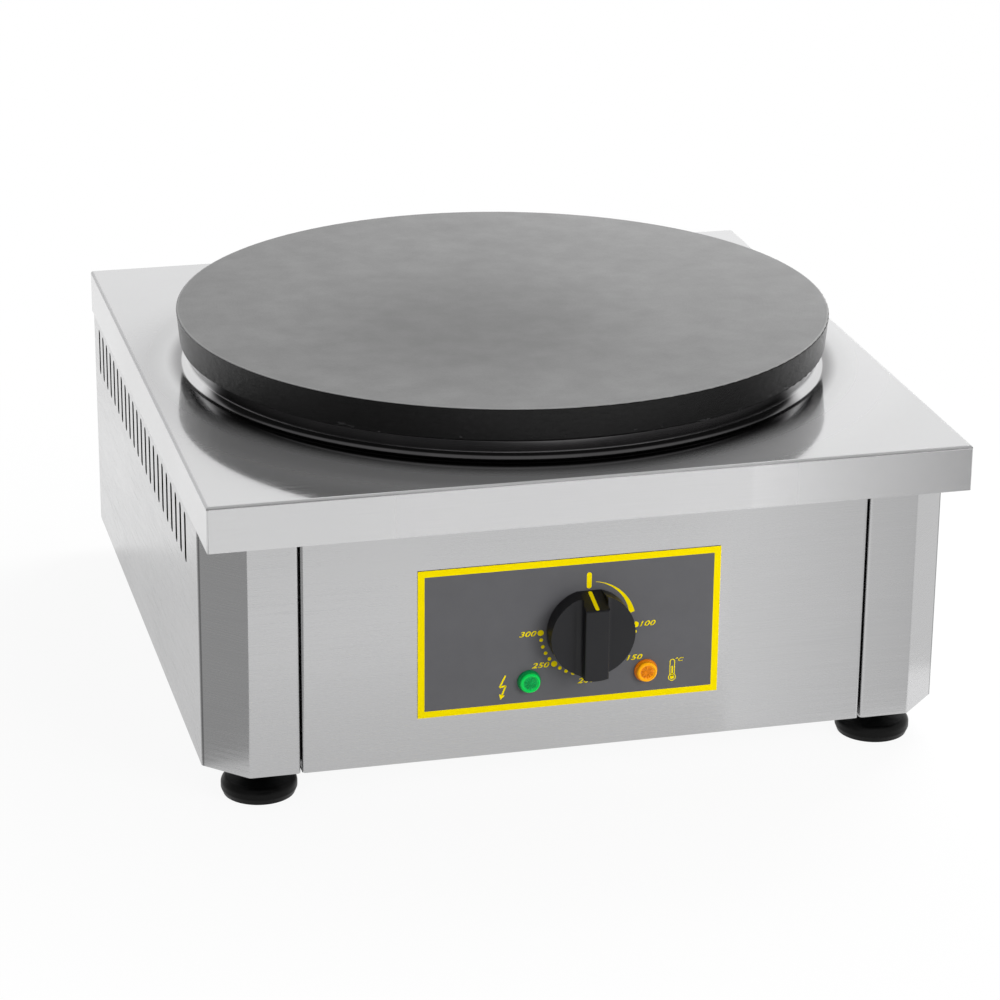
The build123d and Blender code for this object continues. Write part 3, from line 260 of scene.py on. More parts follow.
class Finish(NodeTree):
    """One material."""

    def __init__(self, name):
        self.material = bpy.data.materials.new(name)
        super().__init__(self.material)
        self.shader = self.nodes["Principled BSDF"]
        self.place = self.nodes.new("ShaderNodeTexCoord").outputs["Object"]

    def set(self, **values):
        for name, value in values.items():
            self.feed(value, self.shader.inputs[name.replace("_", " ")])

    def fed_to(self, name):
        """What already leads to one of the shader's sockets."""
        return self.shader.inputs[name].links[0].from_socket

    def emit(self, surface):
        """Shows this in place of the shader."""
        self.nodes.remove(self.shader)
        self.links.new(surface, self.nodes["Material Output"].inputs["Surface"])

    def stretched(self, x, y, z):
        """Object coordinates with each axis multiplied."""
        return self.add("ShaderNodeMapping", {"Vector": self.place, "Scale": (x, y, z)}).outputs["Vector"]

    def shifted(self, x, y, z):
        """Object coordinates counted from another point."""
        return self.add("ShaderNodeMapping", {"Vector": self.place, "Location": (-x, -y, -z)}).outputs["Vector"]

    def noise(self, vector, scale=1.0, detail=2.0, roughness=0.5):
        inputs = {"Vector": vector, "Scale": scale, "Detail": detail, "Roughness": roughness}
        return self.add("ShaderNodeTexNoise", inputs).outputs["Fac"]

    def mix(self, amount, first, second):
        """Mixes two colours."""
        first, second = (
            (*value, 1.0) if isinstance(value, (tuple, list)) and len(value) == 3 else value
            for value in (first, second)
        )
        inputs = {"Factor": amount, 6: first, 7: second}
        return self.add("ShaderNodeMix", inputs, data_type="RGBA").outputs[2]

    def steepness(self, axis):
        """How nearly a surface faces along an axis, either way."""
        normal = self.nodes.new("ShaderNodeNewGeometry").outputs["Normal"]
        return self.math("ABSOLUTE", self.axis(normal)[axis])

    def from_plate_axis(self):
        """The level way from the plate's axis, and its length."""
        inputs = {0: self.shifted(0.0, PLATE_Y, 0.0), 1: LEVEL}
        vector = self.add("ShaderNodeVectorMath", inputs, operation="MULTIPLY").outputs[0]
        return vector, self.length(vector)

    def length(self, vector):
        return self.add("ShaderNodeVectorMath", {0: vector}, operation="LENGTH").outputs["Value"]

    def bump(self, height, distance, under=None):
        inputs = {"Strength": 1.0, "Distance": distance, "Height": height}
        if under is not None:
            inputs["Normal"] = under
        return self.add("ShaderNodeBump", inputs).outputs["Normal"]


def shade(color, factor):
    return tuple(min(1.0, part * factor) for part in color)


def brushed_steel(name, color, smoothest, roughest, grain, relief, polished_radius=0.0):
    """Steel sheet with a fine grain, along X on level faces and level on upright ones.

    Fine lines lie between polished strips, so a sharp reflection shows through a haze.
    The grain is polished out inside polished_radius round the plate's axis."""
    finish = Finish(name)
    level_grain = finish.noise(finish.stretched(26, 4000, 4000), 1.0, 2.0, 0.60)
    upright_grain = finish.noise(finish.stretched(26, 26, 4000), 1.0, 2.0, 0.60)
    is_level = finish.remap(finish.steepness("Z"), 0.6, 0.8)
    lines = finish.mix(is_level, upright_grain, level_grain)
    if polished_radius:
        radius = finish.from_plate_axis()[1]
        polished = finish.remap(radius, polished_radius, polished_radius + 6.0 * MM, 0.85, 0.0, smooth=True)
        lines = finish.mix(polished, lines, (0.5, 0.5, 0.5))
    clouds = finish.noise(finish.place, 6.0, 3.0, 0.5)
    smears = finish.noise(finish.stretched(7, 7, 22), 1.0, 3.0, 0.55)
    tone = finish.math(
        "ADD",
        finish.remap(lines, 0.25, 0.75, 0.5 - grain, 0.5 + grain),
        finish.remap(clouds, 0.3, 0.7, -0.05, 0.05),
    )
    finish.set(
        Base_Color=finish.mix(tone, shade(color, 0.86), shade(color, 1.14)),
        Metallic=1.0,
        Roughness=finish.math(
            "MULTIPLY",
            finish.remap(lines, 0.36, 0.64, smoothest, roughest),
            finish.remap(smears, 0.3, 0.7, 0.85, 1.15),
        ),
        Normal=finish.bump(lines, relief * MM),
    )
    return finish


def tray_steel(settings):
    """Polished close to the plate, hazier where it is wiped, with painted shade on the collar's front and on the
    tray round the collar's foot.
    """
    finish = brushed_steel("tray_steel", settings.tray_color[:], 0.04, 0.15, 0.12, 0.0001, FOOT_RADIUS + 1.0 * MM)
    from_axis, radius = finish.from_plate_axis()

    def ring(low, high, inside, outside, smooth=True):
        """Goes from one value to the other between two distances from the collar's foot, in mm."""
        return finish.remap(radius, FOOT_RADIUS + low * MM, FOOT_RADIUS + high * MM, inside, outside, smooth)

    # Painted shade: the collar's front is painted dark, and a band of tray round the collar's foot is painted
    # darker, fading out over 10 mm, in a mottled dark grey.
    frontward = finish.math("DIVIDE", finish.dot(from_axis, TOWARD), radius)
    in_front = finish.remap(frontward, 0.38, 0.50, smooth=True)
    shaded_front = finish.math("MULTIPLY", ring(-1.0, 0.0, 1.0, 0.0), in_front)
    shaded_foot = finish.math("MULTIPLY", ring(-1.5, -0.5, 0.0, 1.0), ring(0.0, 10.0, 0.72, 0.0))
    darker_zone = finish.math("MAXIMUM", shaded_front, shaded_foot)
    leaning = finish.steepness("Z")
    bend = finish.math("MULTIPLY", finish.remap(leaning, 0.08, 0.16), finish.remap(leaning, 0.94, 0.985, 1.0, 0.0))
    bend = finish.math("MULTIPLY", bend, ring(6.0, 10.0, 0.0, 0.40, False))
    shade_mottle = finish.noise(finish.place, 26.0, 3.0, 0.55)
    shade_tone = finish.mix(shade_mottle, (0.085, 0.085, 0.090), (0.165, 0.160, 0.160))
    rougher = finish.math("MULTIPLY", finish.fed_to("Roughness"), ring(-0.5, 3.0, 1.6, 1.0))
    finish.set(
        Base_Color=finish.mix(darker_zone, finish.fed_to("Base Color"), shade_tone),
        Metallic=finish.math("ADD", ring(0.0, 22.0, 1.0, 0.66), ring(35.0, 70.0, 0.0, 0.14)),
        Roughness=finish.math("MAXIMUM", bend, rougher),
    )
    return finish.material


def panel_steel(settings):
    """Satin panels; the cut walls of the side sheets' slots are painted near black as shade."""
    finish = brushed_steel("panel_steel", settings.panel_color[:], 0.12, 0.30, 0.13, 0.0003)
    side_on = finish.remap(finish.steepness("Y"), 0.6, 0.8)
    sideways = finish.math("ABSOLUTE", finish.axis(finish.place)["X"])
    in_side_sheet = finish.remap(sideways, CHEEK_X - 1.4 * MM, CHEEK_X - 1.25 * MM)
    # Painted shade: faces across Y within the side sheets, the slots' walls, are painted near black.
    painted_slot_shade = finish.math("MULTIPLY", side_on, in_side_sheet)
    finish.set(Base_Color=finish.mix(painted_slot_shade, finish.fed_to("Base Color"), (0.03, 0.03, 0.03)))
    return finish.material


def base_steel():
    """Galvanised sheet with its spangle, brown and darker from 110 mm up, where it lies under the plate."""
    finish = Finish("base_steel")
    cells = finish.add("ShaderNodeTexVoronoi", {"Vector": finish.place, "Scale": 90.0})
    tone = finish.axis(cells.outputs["Color"])["X"]
    dust = finish.noise(finish.place, 30.0, 4.0, 0.6)
    brown_mottle = finish.noise(finish.place, 14.0, 4.0, 0.6)
    # Mottled brown and darker above 110 mm, blending in up to 150 mm.
    darker_zone = finish.remap(finish.axis(finish.place)["Z"], 0.110, 0.150, smooth=True)
    clean = finish.mix(tone, (0.40, 0.41, 0.42), (0.58, 0.59, 0.60))
    brown = finish.mix(brown_mottle, (0.030, 0.024, 0.020), (0.085, 0.062, 0.045))
    finish.set(
        Base_Color=finish.mix(darker_zone, clean, brown),
        Metallic=1.0,
        Roughness=finish.remap(dust, 0.3, 0.7, 0.38, 0.55),
        Normal=finish.bump(dust, 0.02 * MM),
    )
    return finish.material


def cast_iron_plate(settings):
    """Machined griddle face, darker round a point near its middle, over a black cast rim."""
    finish = Finish("cast_iron_plate")
    from_axis = finish.shifted(0.0, PLATE_Y, 0.0)
    radius = finish.from_plate_axis()[1]
    height = finish.axis(from_axis)["Z"]
    top_edge = PLATE_HIGH.z - 0.35 * MM
    is_face = finish.remap(height, top_edge - 0.15 * MM, top_edge)
    broad = finish.noise(finish.place, 7.0, 3.0, 0.5)
    mottle = finish.noise(finish.place, 48.0, 5.0, 0.62)
    pores = finish.noise(finish.place, 900.0, 3.0, 0.6)
    turning = {"W": radius, "Scale": 1400.0, "Detail": 3.0}
    rings = finish.add("ShaderNodeTexNoise", turning, noise_dimensions="1D").outputs["Fac"]
    # Darker round a point 35 mm left of and 45 mm in front of the plate's middle, fading out by 150 mm.
    off_middle = {0: finish.shifted(-0.035, PLATE_Y - 0.045, 0.0), 1: LEVEL}
    off_middle = finish.add("ShaderNodeVectorMath", off_middle, operation="MULTIPLY").outputs[0]
    spot_distance = finish.length(off_middle)
    centre = finish.remap(spot_distance, 0.02, 0.15, 1.0, 0.0, smooth=True)
    gray = settings.plate_color[:]
    face = finish.mix(finish.remap(broad, 0.3, 0.7), shade(gray, 0.94), shade(gray, 1.06))
    face = finish.mix(finish.math("MULTIPLY", centre, 0.9), face, shade(gray, 0.72))
    face = finish.mix(finish.remap(mottle, 0.35, 0.8, 0.0, 0.22), face, shade(gray, 0.62))
    face = finish.mix(finish.remap(pores, 0.5, 0.8, 0.0, 0.30), face, shade(gray, 0.55))
    face = finish.mix(finish.remap(rings, 0.3, 0.7, 0.0, 0.09), face, shade(gray, 1.35))
    reach = (PLATE_HIGH.x - PLATE_LOW.x) / 2
    # A lighter band along the face's outer edge: wear, and a painted highlight along that edge.
    wear_and_highlight_edge = finish.remap(radius, reach - 1.6 * MM, reach - 0.7 * MM, 0.0, 0.55)
    face = finish.mix(wear_and_highlight_edge, face, shade(gray, 1.7))
    lumps = finish.noise(finish.stretched(1.0, 1.0, 2.0), 210.0, 5.0, 0.65)
    grit = finish.noise(finish.place, 620.0, 3.0, 0.6)
    black = settings.rim_color[:]
    rim = finish.mix(finish.remap(lumps, 0.35, 0.7), black, shade(black, 2.4))
    low_on_rim = finish.remap(height, PLATE_LOW.z + 1.2 * MM, PLATE_LOW.z + 4.0 * MM, 1.0, 0.0, smooth=True)
    chip_spots = finish.noise(finish.stretched(1.0, 1.0, 2.2), 95.0, 4.0, 0.7)
    chipped = finish.math("MULTIPLY", finish.remap(chip_spots, 0.63, 0.66), low_on_rim)
    rim = finish.mix(chipped, rim, (0.060, 0.060, 0.062))
    relief = finish.mix(is_face, lumps, finish.remap(pores, 0.2, 0.8, 0.0, 0.016))
    relief = finish.math("ADD", relief, finish.math("MULTIPLY", finish.math("MULTIPLY", rings, is_face), 0.010))
    finish.set(
        Specular_IOR_Level=0.25,
        Base_Color=finish.mix(is_face, rim, face),
        Metallic=finish.remap(is_face, 0.0, 1.0, 0.0, 0.30),
        Roughness=finish.math(
            "ADD",
            finish.remap(is_face, 0.0, 1.0, 0.20, 0.50),
            finish.remap(mottle, 0.3, 0.7, -0.04, 0.06),
        ),
        Normal=finish.bump(relief, 0.70 * MM, finish.bump(grit, 0.03 * MM)),
    )
    return finish.material


def plain_metal(name, color, roughness, scale, detail_relief=0.02, metallic=1.0, tint=0.18):
    """Drawn, plated or turned metal with faint marks."""
    finish = Finish(name)
    marks = finish.noise(finish.place, scale, 4.0, 0.6)
    stains = finish.noise(finish.place, scale / 8, 3.0, 0.5)
    finish.set(
        Base_Color=finish.mix(
            finish.remap(stains, 0.3, 0.7), shade(color, 1.0 - tint), shade(color, 1.0 + tint)
        ),
        Metallic=metallic,
        Roughness=finish.remap(marks, 0.25, 0.75, roughness * 0.8, roughness * 1.3),
        Normal=finish.bump(marks, detail_relief * MM),
    )
    return finish.material


def moulded(name, color, roughness, scale=700.0, relief=0.02, tint=0.10, shine=0.5):
    """Moulded plastic with a fine spark-eroded texture."""
    finish = Finish(name)
    texture = finish.noise(finish.place, scale, 2.0, 0.5)
    wear = finish.noise(finish.place, 60.0, 4.0, 0.6)
    finish.set(
        Specular_IOR_Level=shine,
        Base_Color=finish.mix(
            finish.remap(wear, 0.3, 0.7), shade(color, 1.0 - tint), shade(color, 1.0 + tint)
        ),
        Roughness=finish.remap(wear, 0.3, 0.7, roughness * 0.88, roughness * 1.14),
        Normal=finish.bump(texture, relief * MM),
    )
    return finish.material


def lens(name, deep, middle, bright):
    """Tinted lens: deep in its flange, bright round its cap and deeper again in its sunken middle."""
    finish = Finish(name)
    across = finish.math("SUBTRACT", finish.math("ABSOLUTE", finish.axis(finish.place)["X"]), LAMP_X)
    up = finish.math("SUBTRACT", finish.axis(finish.place)["Z"], LAMP_Z)
    radius = finish.math(
        "SQRT", finish.math("ADD", finish.math("MULTIPLY", across, across), finish.math("MULTIPLY", up, up))
    )
    depth = finish.noise(finish.place, 420.0, 3.0, 0.6)
    inside = finish.remap(radius, 3.6 * MM, 4.6 * MM, smooth=True)
    flecked = finish.mix(finish.remap(depth, 0.42, 0.60), shade(middle, 0.74), middle)
    tint = finish.mix(inside, flecked, bright)
    tint = finish.mix(finish.remap(radius, 5.9 * MM, 6.3 * MM, smooth=True), tint, deep)
    finish.set(
        Specular_IOR_Level=0.22,
        Emission_Strength=0.12,
        Base_Color=tint,
        Roughness=finish.remap(depth, 0.3, 0.7, 0.12, 0.22),
        Emission_Color=tint,
        Normal=finish.bump(depth, 0.05 * MM),
    )
    return finish.material


def mineral_wool():
    finish = Finish("mineral_wool")
    fibres = finish.noise(finish.stretched(1, 1, 3), 240.0, 6.0, 0.7)
    finish.set(
        Base_Color=finish.mix(fibres, (0.40, 0.36, 0.25), (0.74, 0.70, 0.56)),
        Roughness=finish.remap(fibres, 0.3, 0.7, 0.85, 1.0),
        Normal=finish.bump(fibres, 0.6 * MM),
    )
    return finish.material


def braided_sleeve(name, first, second):
    """Woven sleeve over a lead."""
    finish = Finish(name)
    weave = {"Vector": finish.place, "Scale": 420.0, "Distortion": 2.0}
    threads = finish.add("ShaderNodeTexWave", weave, wave_type="BANDS", bands_direction="DIAGONAL").outputs["Fac"]
    finish.set(
        Base_Color=finish.mix(threads, first, second),
        Roughness=finish.remap(threads, 0.0, 1.0, 0.5, 0.7),
        Normal=finish.bump(threads, 0.15 * MM),
    )
    return finish.material


def ink(settings):
    finish = Finish("pointer_yellow")
    screen = finish.noise(finish.place, 1500.0, 2.0, 0.5)
    yellow = settings.ink_color[:]
    finish.set(
        Specular_IOR_Level=0.02,
        Base_Color=finish.mix(finish.remap(screen, 0.3, 0.7), shade(yellow, 0.94), yellow),
        Roughness=finish.remap(screen, 0.3, 0.7, 0.38, 0.48),
        Normal=finish.bump(screen, 0.01 * MM),
    )
    return finish.material


def make_finishes(settings):
    """Makes every slot's finish."""
    made = {
        "tray_steel": tray_steel(settings),
        "panel_steel": panel_steel(settings),
        "base_steel": base_steel(),
        "cast_iron_plate": cast_iron_plate(settings),
        "element_sheath": plain_metal("element_sheath", (0.11, 0.10, 0.09), 0.45, 300.0),
        "fastener_steel": plain_metal("fastener_steel", (0.55, 0.55, 0.54), 0.32, 500.0, 0.015),
        "mineral_wool": mineral_wool(),
        "foot_plastic": moulded("foot_plastic", (0.0016, 0.0016, 0.0016), 0.36, shine=0.16),
        "faceplate_film": moulded("faceplate_film", settings.field_color[:], 0.46, 1200.0, 0.008, 0.05, 0.3),
        "lamp_black": moulded("lamp_black", (0.02, 0.02, 0.02), 0.35),
        "lens_green": lens("lens_green", (0.0, 0.17, 0.05), (0.0, 0.36, 0.075), (0.0, 0.60, 0.085)),
        "lens_amber": lens("lens_amber", (0.62, 0.16, 0.002), (0.80, 0.24, 0.002), (1.0, 0.42, 0.002)),
        "thermostat_plastic": moulded("thermostat_plastic", (0.70, 0.67, 0.58), 0.5),
        "contact_brass": plain_metal("contact_brass", (0.72, 0.50, 0.18), 0.28, 450.0, 0.012),
        "knob_plastic": moulded("knob_plastic", (0.0060, 0.0060, 0.0080), 0.42, 900.0, 0.015, 0.12, 0.42),
        "pointer_yellow": ink(settings),
        "copper_tube": plain_metal("copper_tube", (0.70, 0.32, 0.18), 0.34, 350.0),
        "gland_plastic": moulded("gland_plastic", (0.016, 0.016, 0.017), 0.5, 800.0, 0.03),
        "lead_sleeve": braided_sleeve("lead_sleeve", (0.42, 0.40, 0.36), (0.72, 0.70, 0.64)),
        "earth_sleeve": braided_sleeve("earth_sleeve", (0.10, 0.36, 0.04), (0.75, 0.62, 0.02)),
    }
    FINISHES.update(made)


# ---------------------------------------------------------------- modelling helpers
def select_nothing():
    if bpy.context.mode != "OBJECT":
        bpy.ops.object.mode_set(mode="OBJECT")
    bpy.ops.object.select_all(action="DESELECT")


def activate(piece):
    select_nothing()
    piece.select_set(True)
    bpy.context.view_layer.objects.active = piece


def edit_all():
    bpy.ops.object.mode_set(mode="EDIT")
    bpy.ops.mesh.select_all(action="SELECT")


def face_outwards():
    """Turns every face outwards and leaves edit mode."""
    bpy.ops.mesh.select_all(action="SELECT")
    bpy.ops.mesh.normals_make_consistent(inside=False)
    bpy.ops.object.mode_set(mode="OBJECT")


def extrude(height=0.0):
    bpy.ops.mesh.extrude_region_move(TRANSFORM_OT_translate={"value": (0.0, 0.0, height)})


def widen(factor):
    bpy.ops.transform.resize(value=(factor, factor, 1.0), center_override=(0.0, 0.0, 0.0))


def round_off(steps, unit=MM, rise=MM):
    """Insets and raises the face in work, step by step."""
    for inward, upward in steps:
        bpy.ops.mesh.inset(thickness=unit * inward, depth=rise * upward)


def hollow_out(width):
    """Leaves a border of this width of the flat face in work."""
    edit_all()
    bpy.ops.mesh.inset(thickness=width)
    bpy.ops.mesh.delete(type="FACE")
    bpy.ops.object.mode_set(mode="OBJECT")


def arc_points(middle, radius, start, end, steps):
    """Points along an arc, its angles in degrees."""
    turns = [DEG(start + (end - start) * step / steps) for step in range(steps + 1)]
    return [(middle[0] + radius * math.cos(turn), middle[1] + radius * math.sin(turn)) for turn in turns]


def pick(piece, chosen, kind="faces"):
    """Selects, in edit mode, the mesh elements that chosen says yes to."""
    mesh = bmesh.from_edit_mesh(piece.data)
    for element in (*mesh.verts, *mesh.edges, *mesh.faces):
        element.select_set(False)
    mesh.select_flush(False)
    bpy.ops.mesh.select_mode(type={"verts": "VERT", "edges": "EDGE", "faces": "FACE"}[kind])
    mesh = bmesh.from_edit_mesh(piece.data)
    for element in getattr(mesh, kind):
        element.select_set(bool(chosen(element)))
    bmesh.update_edit_mesh(piece.data)


def named(name):
    piece = bpy.context.object
    piece.name = name
    piece.data.name = name
    return piece


def disc(name, vertices, radius):
    bpy.ops.mesh.primitive_circle_add(vertices=vertices, radius=radius, fill_type="NGON")
    return named(name)


def apply_place(piece):
    activate(piece)
    bpy.ops.object.transform_apply(location=True, rotation=True, scale=True)


def complete(piece, body, slot_name):
    """Puts the piece's place in its mesh, and gives it its finish and its body."""
    apply_place(piece)
    piece.data.materials.clear()
    piece.data.materials.append(FINISHES[slot_name])
    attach(piece, body)
    return piece


def joined(pieces, name):
    select_nothing()
    for piece in pieces:
        piece.select_set(True)
    bpy.context.view_layer.objects.active = pieces[0]
    if len(pieces) > 1:
        bpy.ops.object.join()
    return named(name)


def thicken(piece, height):
    """Turns a flat outline, which lies in a level plane, into a thin plate below it."""
    activate(piece)
    edit_all()
    extrude(height)
    face_outwards()
    return piece


def stand_on_label(piece, x, z):
    """Turns a mark drawn in the XY plane to face forward, its back on the faceplate."""
    apply_place(piece)
    piece.data.transform(Matrix.Rotation(DEG(90.0), 4, "X"))
    piece.data.transform(Matrix.Translation((x, LABEL_FACE, z)))
    return piece


# ---------------------------------------------------------------- dial print
def dot(radius, height):
    return thicken(disc("dot", 24, radius), height)


def stroke(x0, y0, x1, y1, width, height):
    """A straight bar between two points, in the XY plane."""
    length = math.hypot(x1 - x0, y1 - y0)
    bpy.ops.mesh.primitive_plane_add(size=1.0)
    bar = named("stroke")
    bar.scale = (length, width, 1.0)
    bar.rotation_euler = (0.0, 0.0, math.atan2(y1 - y0, x1 - x0))
    bar.location = ((x0 + x1) / 2, (y0 + y1) / 2, 0.0)
    apply_place(bar)
    return thicken(bar, height)


def border(settings):
    width = LABEL_HIGH.x - LABEL_LOW.x
    height = LABEL_HIGH.z - LABEL_LOW.z
    bpy.ops.mesh.primitive_plane_add(size=1.0)
    frame_mark = named("border")
    frame_mark.scale = (width, height, 1.0)
    apply_place(frame_mark)
    hollow_out(settings.border)
    thicken(frame_mark, settings.ink_height)
    return stand_on_label(frame_mark, (LABEL_LOW.x + LABEL_HIGH.x) / 2, (LABEL_LOW.z + LABEL_HIGH.z) / 2)


def ring_place(radius, clockwise):
    """A place on a circle, from an angle counted clockwise from its top."""
    turn = DEG(clockwise)
    return radius * math.sin(turn), radius * math.cos(turn)


def dial_dots(settings):
    marks = []
    for clockwise in range(90, 271, 9):
        big = (clockwise - 90) % 45 == 0
        x, y = ring_place(settings.dot_ring, clockwise)
        mark = dot(settings.big_dot if big else settings.small_dot, settings.ink_height)
        marks.append(stand_on_label(mark, DIAL_X + x, DIAL_Z + y))
    return marks


def growing_arc(settings):
    """The crescent that widens towards the hotter side."""
    start, end, steps = 8.0, 73.0, 40
    bpy.ops.mesh.primitive_grid_add(x_subdivisions=steps, y_subdivisions=1, size=1.0)
    arc = named("growing_arc")
    for vertex in arc.data.vertices:
        along = vertex.co.x + 0.5
        thickness = (0.25 + 3.2 * along**1.4) * MM
        radius = settings.dot_ring + (0.7 - 2.0 * along**1.6) * MM + vertex.co.y * thickness
        x, y = ring_place(radius, start + (end - start) * along)
        vertex.co = (x, y, 0.0)
    thicken(arc, settings.ink_height)
    return stand_on_label(arc, DIAL_X, DIAL_Z)


def off_tick(settings):
    tick = disc("off_tick", 24, 1.5 * MM)
    for vertex in tick.data.vertices:
        vertex.co.y += math.copysign(3.5 * MM, vertex.co.y)
    thicken(tick, settings.ink_height)
    return stand_on_label(tick, DIAL_X, DIAL_Z + 30.2 * MM)


def number(text, x, z, height, settings):
    """A bold leaning number, its middle at x and z from the dial's centre."""
    bpy.ops.object.text_add()
    label = named("number_" + text.strip("\u00b0"))
    label.data.body = text
    label.data.size = height * 1.36
    label.data.shear = 0.30
    label.data.offset = 0.028 * height
    label.data.align_x = "CENTER"
    label.data.align_y = "CENTER"
    label.data.space_character = 1.06
    activate(label)
    bpy.ops.object.convert(target="MESH")
    label = bpy.context.object
    label.scale = (1.42, 1.0, 1.0)
    apply_place(label)
    thicken(label, settings.ink_height)
    return stand_on_label(label, DIAL_X + x * MM, DIAL_Z + z * MM)


def bolt_sign(settings):
    """The lightning sign of the supply lamp, with its arrowhead."""
    x, z, height = -SIGN_X, DIAL_Z - 32.4 * MM, settings.ink_height
    turns = [(2.2, 7.6), (-1.2, 0.4), (2.5, 1.2), (0.2, -4.6)]
    marks = []
    for (x0, y0), (x1, y1) in zip(turns, turns[1:]):
        mark = stroke(x0 * MM, y0 * MM, x1 * MM, y1 * MM, 0.98 * MM, height)
        marks.append(stand_on_label(mark, x, z))
    head = disc("arrowhead", 3, 2.1 * MM)
    head.rotation_euler = (0.0, 0.0, DEG(162.0))
    head.location = (-0.1 * MM, -5.4 * MM, 0.0)
    apply_place(head)
    marks.append(stand_on_label(thicken(head, height), x, z))
    return marks


def ring(outer, inner, height):
    band = disc("ring", 32, outer)
    hollow_out(outer - inner)
    return thicken(band, height)


def thermometer_sign(settings):
    """The thermometer of the heating lamp: stem outline, ringed bulb and column."""
    height = settings.ink_height
    marks = []

    def put(mark, up=0.0):
        marks.append(stand_on_label(mark, SIGN_X, DIAL_Z - 31.2 * MM + up))

    for side in (-1.4 * MM, 1.4 * MM):
        put(stroke(side, -2.6 * MM, side, 5.4 * MM, 0.5 * MM, height))
    bpy.ops.mesh.primitive_grid_add(x_subdivisions=16, y_subdivisions=1, size=1.0)
    cap = named("stem_cap")
    for vertex in cap.data.vertices:
        turn = DEG(180.0 * (vertex.co.x + 0.5))
        radius = (1.4 + 0.5 * vertex.co.y) * MM
        vertex.co = (-radius * math.cos(turn), 5.4 * MM + radius * math.sin(turn), 0.0)
    put(thicken(cap, height))
    put(ring(2.35 * MM, 1.85 * MM, height), -4.5 * MM)
    put(dot(1.25 * MM, height), -4.5 * MM)
    put(stroke(0.0, -4.0 * MM, 0.0, 2.6 * MM, 0.95 * MM, height))
    return marks


class CREPE_OT_dial_print(bpy.types.Operator):
    """Print the border, dots, arc, numbers and signs on the faceplate"""

    bl_idname = "crepe.dial_print"
    bl_label = "Dial print"

    def execute(self, context):
        settings = context.scene.crepe_print
        marks = [border(settings), growing_arc(settings), off_tick(settings)]
        marks += dial_dots(settings)
        for text, x, z in (
            ("100", 34.9, -0.1),
            ("150", 27.4, -20.9),
            ("200", -1.1, -32.6),
            ("250", -28.8, -20.5),
            ("300", -36.8, -0.2),
        ):
            marks.append(number(text, x, z, settings.number_height, settings))
        marks += bolt_sign(settings)
        marks += thermometer_sign(settings)
        marks.append(number("\u00b0C", 55.2, -24.9, settings.number_height * 0.70, settings))
        complete(joined(marks, "dial_print"), "housing", "pointer_yellow")
        return {"FINISHED"}


# ---------------------------------------------------------------- lamp lenses
def lamp_lens(color):
    """One lens: rounded flange, raised cap and a sunken ring of prisms in its face."""
    node = "lamp_lens_" + color
    low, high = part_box(node)
    flange = (high.x - low.x) / 2
    depth = high.y - low.y
    cap = flange * 0.872
    select_nothing()
    piece = disc("pilot_lens_" + color, 72, flange)
    edit_all()
    extrude(0.7 * MM)
    round_off(((0.12, 0.30), (0.22, 0.22), (0.30, 0.10)))
    bpy.ops.mesh.inset(thickness=flange - 0.64 * MM - cap, depth=0.04 * MM)
    extrude(depth - 2.46 * MM)
    round_off(((0.10, 0.42), (0.26, 0.38), (0.42, 0.24), (0.50, 0.06)))
    round_off(((0.35, -0.45), (0.9, -0.05), (1.2, 0.25)))
    bpy.ops.mesh.poke()
    face_outwards()
    prism_low = depth - 1.9 * MM
    for vertex in piece.data.vertices:
        from_middle = math.hypot(vertex.co.x, vertex.co.y)
        if vertex.co.z > prism_low and 0.2 * MM < from_middle < cap - 2.4 * MM:
            sector = int(math.degrees(math.atan2(vertex.co.y, vertex.co.x)) // 15.0)
            vertex.co.z -= 0.30 * MM * (sector % 2)
    bpy.ops.object.shade_smooth_by_angle(angle=DEG(28.0))
    piece.rotation_euler = (DEG(90.0), 0.0, 0.0)
    piece.location = ((low.x + high.x) / 2, high.y, (low.z + high.z) / 2)
    complete(piece, "housing", "lens_" + color)
    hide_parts(node)


class CREPE_OT_lamp_lenses(bpy.types.Operator):
    """Model the green and the amber lens"""

    bl_idname = "crepe.lamp_lenses"
    bl_label = "Lamp lenses"

    def execute(self, context):
        lamp_lens("green")
        lamp_lens("amber")
        return {"FINISHED"}


# ---------------------------------------------------------------- collar
def spun(name, outline, steps):
    """A closed outline of (radius, height) points spun once round the plate's axis."""
    mesh = bpy.data.meshes.new(name)
    count = len(outline)
    mesh.from_pydata(
        [(radius, PLATE_Y, height) for radius, height in outline], [(i, (i + 1) % count) for i in range(count)], []
    )
    piece = bpy.data.objects.new(name, mesh)
    bpy.context.collection.objects.link(piece)
    activate(piece)
    edit_all()
    bpy.ops.mesh.spin(steps=steps, angle=2 * math.pi, center=(0.0, PLATE_Y, 0.0), axis=(0.0, 0.0, 1.0))
    bpy.ops.mesh.select_all(action="SELECT")
    bpy.ops.mesh.remove_doubles(threshold=0.001 * MM)
    face_outwards()
    bpy.ops.object.shade_smooth_by_angle(angle=DEG(35.0))
    return piece


